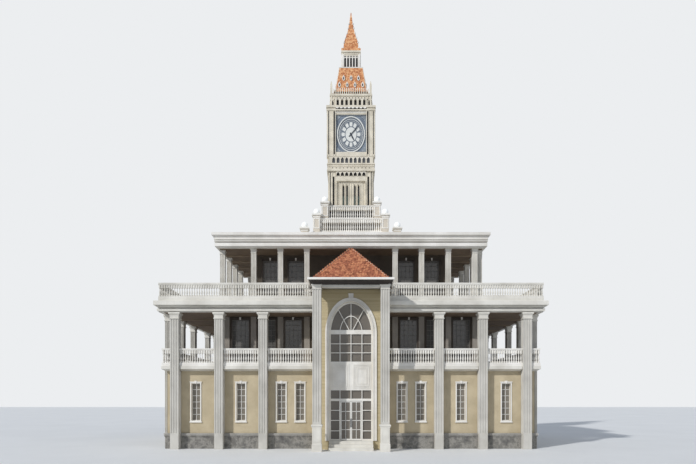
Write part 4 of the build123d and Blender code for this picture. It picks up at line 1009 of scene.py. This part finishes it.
# How far a sheet of painted shade, standing for a dark hollow, stands out of its wall
thin = 0.004
arch_spots = spread(-0.84, 0.84, 7)
carving, scallops, panes, shade_sheets = [Batch() for _ in range(4)]
# On the batch of dark sheets, the rows are painted shade in slots, grooves and under mouldings
TOWER_BLOCKS = (
    (stage_half, carving, paired(*strips(18.72, 21.62, (1.02, 0.04, 0.05), (1.16, 0.04, 0.03),
                                         (1.41, 0.03, 0.02), (1.525, 0.05, 0.02)))),
    (stage_half, shade_sheets, paired((1.04, 1.14, 18.8, 21.6, 0, thin), (1.44, 1.485, 18.8, 21.6, 0, thin))
     + centred((1.0, 21.72, 21.84, 0, 0.006), (1.0, 21.585, 21.62, 0, 0.006))),
    (stage_half, scallops, centred((1.02, 21.5, 21.54, 0, 0.04))),
    (arcade_half, panes, centred((1.4, 18.235, 18.65, 0, thin))),
    (band_half, carving, centred((1.5, 18.04, 18.07, 0, 0.02), (1.5, 17.985, 18.0, 0, 0.02))),
    (shaft_half, carving, centred((0.96, 17.12, 17.4, 0, 0.02), (0.97, 17.395, 17.42, 0, 0.03),
                                  (0.97, 17.08, 17.12, 0, 0.07))
     + paired((0.935, 0.97, 14.76, 17.08, 0, 0.07),
              *strips(14.5, 17.7, (1.035, 0.05, 0.03), (1.235, 0.05, 0.03), (1.4, 0.04, 0.02)))),
    (shaft_half, shade_sheets, centred((0.98, 17.4, 17.715, 0, thin))
     + paired((1.33, 1.375, 14.6, 17.7, 0, thin), (1.08, 1.19, 14.8, 17.38, -0.049, -0.044))),
    (lancet_half, carving, strips(14.76, 16.98, *[(u, 0.032, 0.035)
                                                  for u in [0] + mirrored((0.14, 0.378, 0.62, 0.76))])),
    (belfry_half, carving, paired(*strips(21.97, 22.7, (1.28, 0.08, 0.05), (1.1, 0.05, 0.04)))),
    (belfry_half, shade_sheets, centred((1.02, 21.975, 22.5, 0, thin))),
    (lantern_half, scallops, paired((0.49, 0.61, 24.97, 25.88, 0, 0.045))),
    (lantern_half, shade_sheets, centred((0.49, 24.975, 25.67, 0, thin))
     + strips(25.97, 26.0, *[(u, 0.06, thin) for u in spread(-0.48, 0.48, 8)])),
)
for half, batch, rows in TOWER_BLOCKS:
    for at in tower_faces(half):
        face_boxes(batch, at, rows)

# Facings with pointed openings, and a rim round each arch
ARCADES = (
    # face, batch, half width, levels, middles, widths and rise of the arches, distance out, band over them
    (arcade_half, carving, 1.44, 18.23, 18.66, [-1.13] + arch_spots + [1.13], 0.19, 0.15, 0.075, 0.03),
    (shaft_half, carving, 0.98, 17.42, 17.715, arch_spots, 0.2, 0.13, 0.06, 0.05),
    (belfry_half, carving, 1.04, 21.975, 22.52, spread(-0.87, 0.87, 7), 0.16, 0.1, 0.075, 0.02),
    (lantern_half, scallops, 0.49, 24.975, 25.69, spread(-0.39, 0.39, 5), 0.13, 0.08, 0.03, 0.015),
)
for face_half, batch, half, z0, z1, spots, width, rise, proud, band in ARCADES:
    edges = [-half] + [u + t for u in spots for t in (-width / 2, width / 2)] + [half]
    for at in tower_faces(face_half):
        face_boxes(batch, at, [(a, b, z0, z1, thin, proud) for a, b in zip(edges[::2], edges[1::2])])
        for u in spots:
            arch, rim = [[(u + grow * width / 2 * t, z1 - band - rise + grow * rise * (1 - abs(t)) ** 0.6)
                          for t in spread(-1, 1, 9)] for grow in (1, 1.2)]
            ribbon(batch, at, arch, [(a, z1) for a, _ in arch], thin, proud)
            ribbon(scallops, at, arch, rim, proud, proud + 0.02)

# Small gables as triangles of painted shade
for face_half, spots, half, z0, z1, proud in (
        (band_half, spread(-1.2, 1.2, 11), 0.05, 17.9, 17.96, thin),
        (belfry_half, spread(-0.9, 0.9, 10), 0.055, 22.565, 22.64, 0.006)):
    for at, u in face_spots(face_half, spots):
        face_prism(shade_sheets, at, [(u - half, z0), (u + half, z0), (u, z1)], 0, proud)

# Scallops under the clock stage's cornice, rims of the lancets, and belfry slots and round eyes of the
# lantern in painted shade
for at, u in face_spots(stage_half, spread(-0.9, 0.9, 8)):
    face_prism(scallops, at, oval(u, 21.84, 0.1, -0.075, 8, math.pi), 0.006, 0.06)
for at, u in face_spots(lancet_half, (-0.5, -0.255, 0.255, 0.5)):
    hole, rim = lancet_outline(u, 0.125, 15.38, 16.93), lancet_outline(u, 0.165, 15.36, 16.97)
    ribbon(carving, at, hole + hole[:1], rim + rim[:1], 0, 0.03)
for at, u in face_spots(belfry_half, (-1.19, 1.19)):
    face_prism(shade_sheets, at, lancet_outline(u, 0.1, 22.02, 22.38), 0, thin)
for at, u in face_spots(lantern_half, spread(-0.39, 0.39, 5)):
    disc(shade_sheets, at, u, 25.76, 0.05, 0.05, 0, thin, 12)
    oval_ring(scallops, at, u, 25.76, (0.05, 0.05), (0.07, 0.07), 0, 0.02, 12)

# White bands over the roofs' feet, and painted shade behind the shaft's foot and the rail
for half, z0, z1 in ((0.78, 24.88, 24.96), (1.24, 22.8, 22.835)):
    scallops.moulding(0, tower_y, half, half, [(0, z0), (0.02, z0 + 0.015), (0.02, z1 - 0.015), (0, z1)])
shade_sheets.moulding(0, tower_y, 1.447, 1.447, [(0, 14.47), (0, 15.1)])
shade_sheets.moulding(0, tower_y, 1.235, 1.235, [(0, 22.84), (-0.15, 23.16)])
carving.build("tower_carving", cream, slot="tower_stone")
scallops.build("tower_white_carving", white_crisp, slot="white_trim")
# The grey sheets behind the arcade's openings are painted shade
panes.build("arcade_painted_shade", arcade_shade_grey)
shade_sheets.build("tower_painted_shade", painted_shade_dark)


def half_at(shape, level):
    """Half width of a roof at a level, from its half widths and levels."""
    for (h0, z0), (h1, z1) in zip(shape, shape[1:]):
        if z0 <= level <= z1:
            return h0 + (h1 - h0) * (level - z0) / (z1 - z0)


# Dormers on the lower roof: white oval frames round an eye of painted shade, each with a small point
dormers, dormer_eye_shade = Batch(), Batch()
for level, spots in ((23.62, (-0.77, -0.26, 0.26, 0.77)), (24.1, (-0.49, 0, 0.49))):
    for at, u in face_spots(half_at(TOWER_ROOF, level - 0.12) + 0.04, spots):
        oval_ring(dormers, at, u, level, (0.04, 0.095), (0.088, 0.155), -0.06, 0.02, 16)
        face_prism(dormers, at, [(u - 0.045, level + 0.13), (u + 0.045, level + 0.13), (u, level + 0.24)],
                   -0.05, 0.005)
        disc(dormer_eye_shade, at, u, level, 0.041, 0.096, -0.05, 0, 12)
dormers.build("roof_dormers", white_crisp, slot="white_trim")
dormer_eye_shade.build("dormer_eye_shade", painted_shade_dark)

# White crockets up the four edges of the spire, and points on the rail posts
crockets = Batch()
for level in (26.34, 26.72, 27.1, 27.48, 27.86, 28.2):
    for x, y in tower_corners(half_at(SPIRE, level + 0.04) + 0.01):
        crockets.turned(x, y, [(0.055 * r, level + 0.16 * t) for r, t in (
            (0.2, 0), (0.8, 0.15), (1, 0.4), (0.75, 0.7), (0.12, 1))], 8)
rail_post = 1.29
for u in spread(-1.13, 1.13, 17):
    for s in (-rail_post, rail_post):
        for x, y in ((u, tower_y + s), (s, tower_y + u)):
            crockets.moulding(x, y, 0, 0, [(0.03, 23.2), (0.004, 23.29)])
crockets.build("crockets_and_rail_points", white_crisp, slot="white_trim")

# Podium: necks, caps and ball finials of the piers, frames on the upper ones, and mouldings of the steps
ball_radius, ball_lift = 0.208, 0.175
ball_turns = [math.pi * (k / 10 - 0.5) * 0.98 for k in range(1, 11)]
podium_trim, balls = Batch(), Batch()
for centre, top in PIERS:
    for x, y in tower_corners(centre):
        podium_trim.moulding(x, y, 0, 0, [(0.215, top - 0.24), (0.232, top - 0.22), (0.232, top - 0.17),
                                          (0.215, top - 0.15)])
        podium_trim.turned(x, y, [(0.13, top - 0.002), (0.13, top + 0.02), (0.09, top + 0.04)], 16)
        podium_trim.moulding(x, y, 0, 0, [(0.25, top - 0.12), (0.3, top - 0.09), (0.3, top - 0.02),
                                          (0.27, top + 0.005)])
        balls.turned(x, y, [(ball_radius * math.cos(a), top + ball_lift + ball_radius * math.sin(a))
                            for a in ball_turns], 20)
        if centre != PIERS[0][0]:
            for u, at in ((x, front_at(y - pier_half)), (x, rear_at(y + pier_half)),
                          (y, right_at(x + pier_half)), (y, left_at(pier_half - x))):
                rows = frame_rows(u - 0.2, u + 0.2, top - 0.94, top - 0.27, 0.06, -0.002, 0.02)
                face_boxes(podium_trim, at, rows)
for half, z in ((2.45, 13.45), (1.8, 14.45)):
    podium_trim.moulding(0, tower_y, half, half, [(0.002, z - 0.14), (0.03, z - 0.12), (0.03, z - 0.06),
                                                  (0.05, z - 0.05), (0.05, z), (0.0, z + 0.004)])
podium_trim.build("podium_mouldings", white_crisp, slot="white_trim")
# A faint emission on the ball finials: a painted glow, though they are no lamps
glowing_globe = Shader("white_globe_painted_glow", 0.3, Base_Color=colour(250, 250, 246), Emission_Strength=0.12)
balls.build("ball_finials", glowing_globe.material, smooth=True, slot="white_trim")

# Floor, light and camera
scene = bpy.context.scene
floor_size = 160
floor_mesh = bpy.data.meshes.new("floor")
floor_mesh.from_pydata(rect_loop(-floor_size, -floor_size, floor_size, floor_size, 0), [], [(0, 1, 2, 3)])
floor = bpy.data.objects.new("floor", floor_mesh)
scene.collection.objects.link(floor)
floor_shade = Shader("pale_floor", 0.9)
floor_mesh.materials.append(floor_shade.finish(
    floor_shade.ramp(floor_shade.noise(0.2), (0.2, (226, 226, 224)), (0.8, (234, 234, 232)))))


def sun(name, azimuth, elevation, strength, angle):
    """azimuth 0 shines from the camera's side along +Y, and positive from the left."""
    lamp = bpy.data.lights.new(name, "SUN")
    lamp.energy = strength
    lamp.angle = math.radians(angle)
    made = bpy.data.objects.new(name, lamp)
    made.rotation_euler = (math.radians(90 - elevation), 0, math.radians(-azimuth))
    scene.collection.objects.link(made)


sun("key", 44, 31, 2.45, 2)
sun("fill", -50, 30, 0.3, 40)

# World: a pale backdrop for camera, transmission and glossy rays, and a bluish light for all others
scene.view_settings.view_transform = "Standard"
world = bpy.data.worlds.new("studio")
scene.world = world
world.use_nodes = True
tree = world.node_tree
tree.nodes.clear()
seen = add_node(tree, "ShaderNodeBackground", {0: colour(236, 238, 240)}).outputs[0]
lit = add_node(tree, "ShaderNodeBackground", {0: colour(198, 212, 234), 1: 0.48}).outputs[0]
paths = add_node(tree, "ShaderNodeLightPath").outputs
direct = paths["Is Camera Ray"]
for ray in ("Is Transmission Ray", "Is Glossy Ray"):
    direct = add_node(tree, "ShaderNodeMath", {0: direct, 1: paths[ray]}, operation="MAXIMUM").outputs[0]
chosen = add_node(tree, "ShaderNodeMixShader", {0: direct, 1: lit, 2: seen}).outputs[0]
add_node(tree, "ShaderNodeOutputWorld", {0: chosen})

lens = bpy.data.cameras.new("camera")
lens.sensor_width = sensor_width
lens.lens = sensor_width * focal_pixels / image_width
lens.shift_x = (image_width / 2 - vanishing_x) / image_width
lens.shift_y = (vanishing_y - image_height / 2) / image_width
lens.clip_end = 1000
camera = bpy.data.objects.new("camera", lens)
camera.location = (0, -camera_distance, eye_height)
camera.rotation_euler = (math.radians(90), 0, 0)
scene.collection.objects.link(camera)
scene.camera = camera
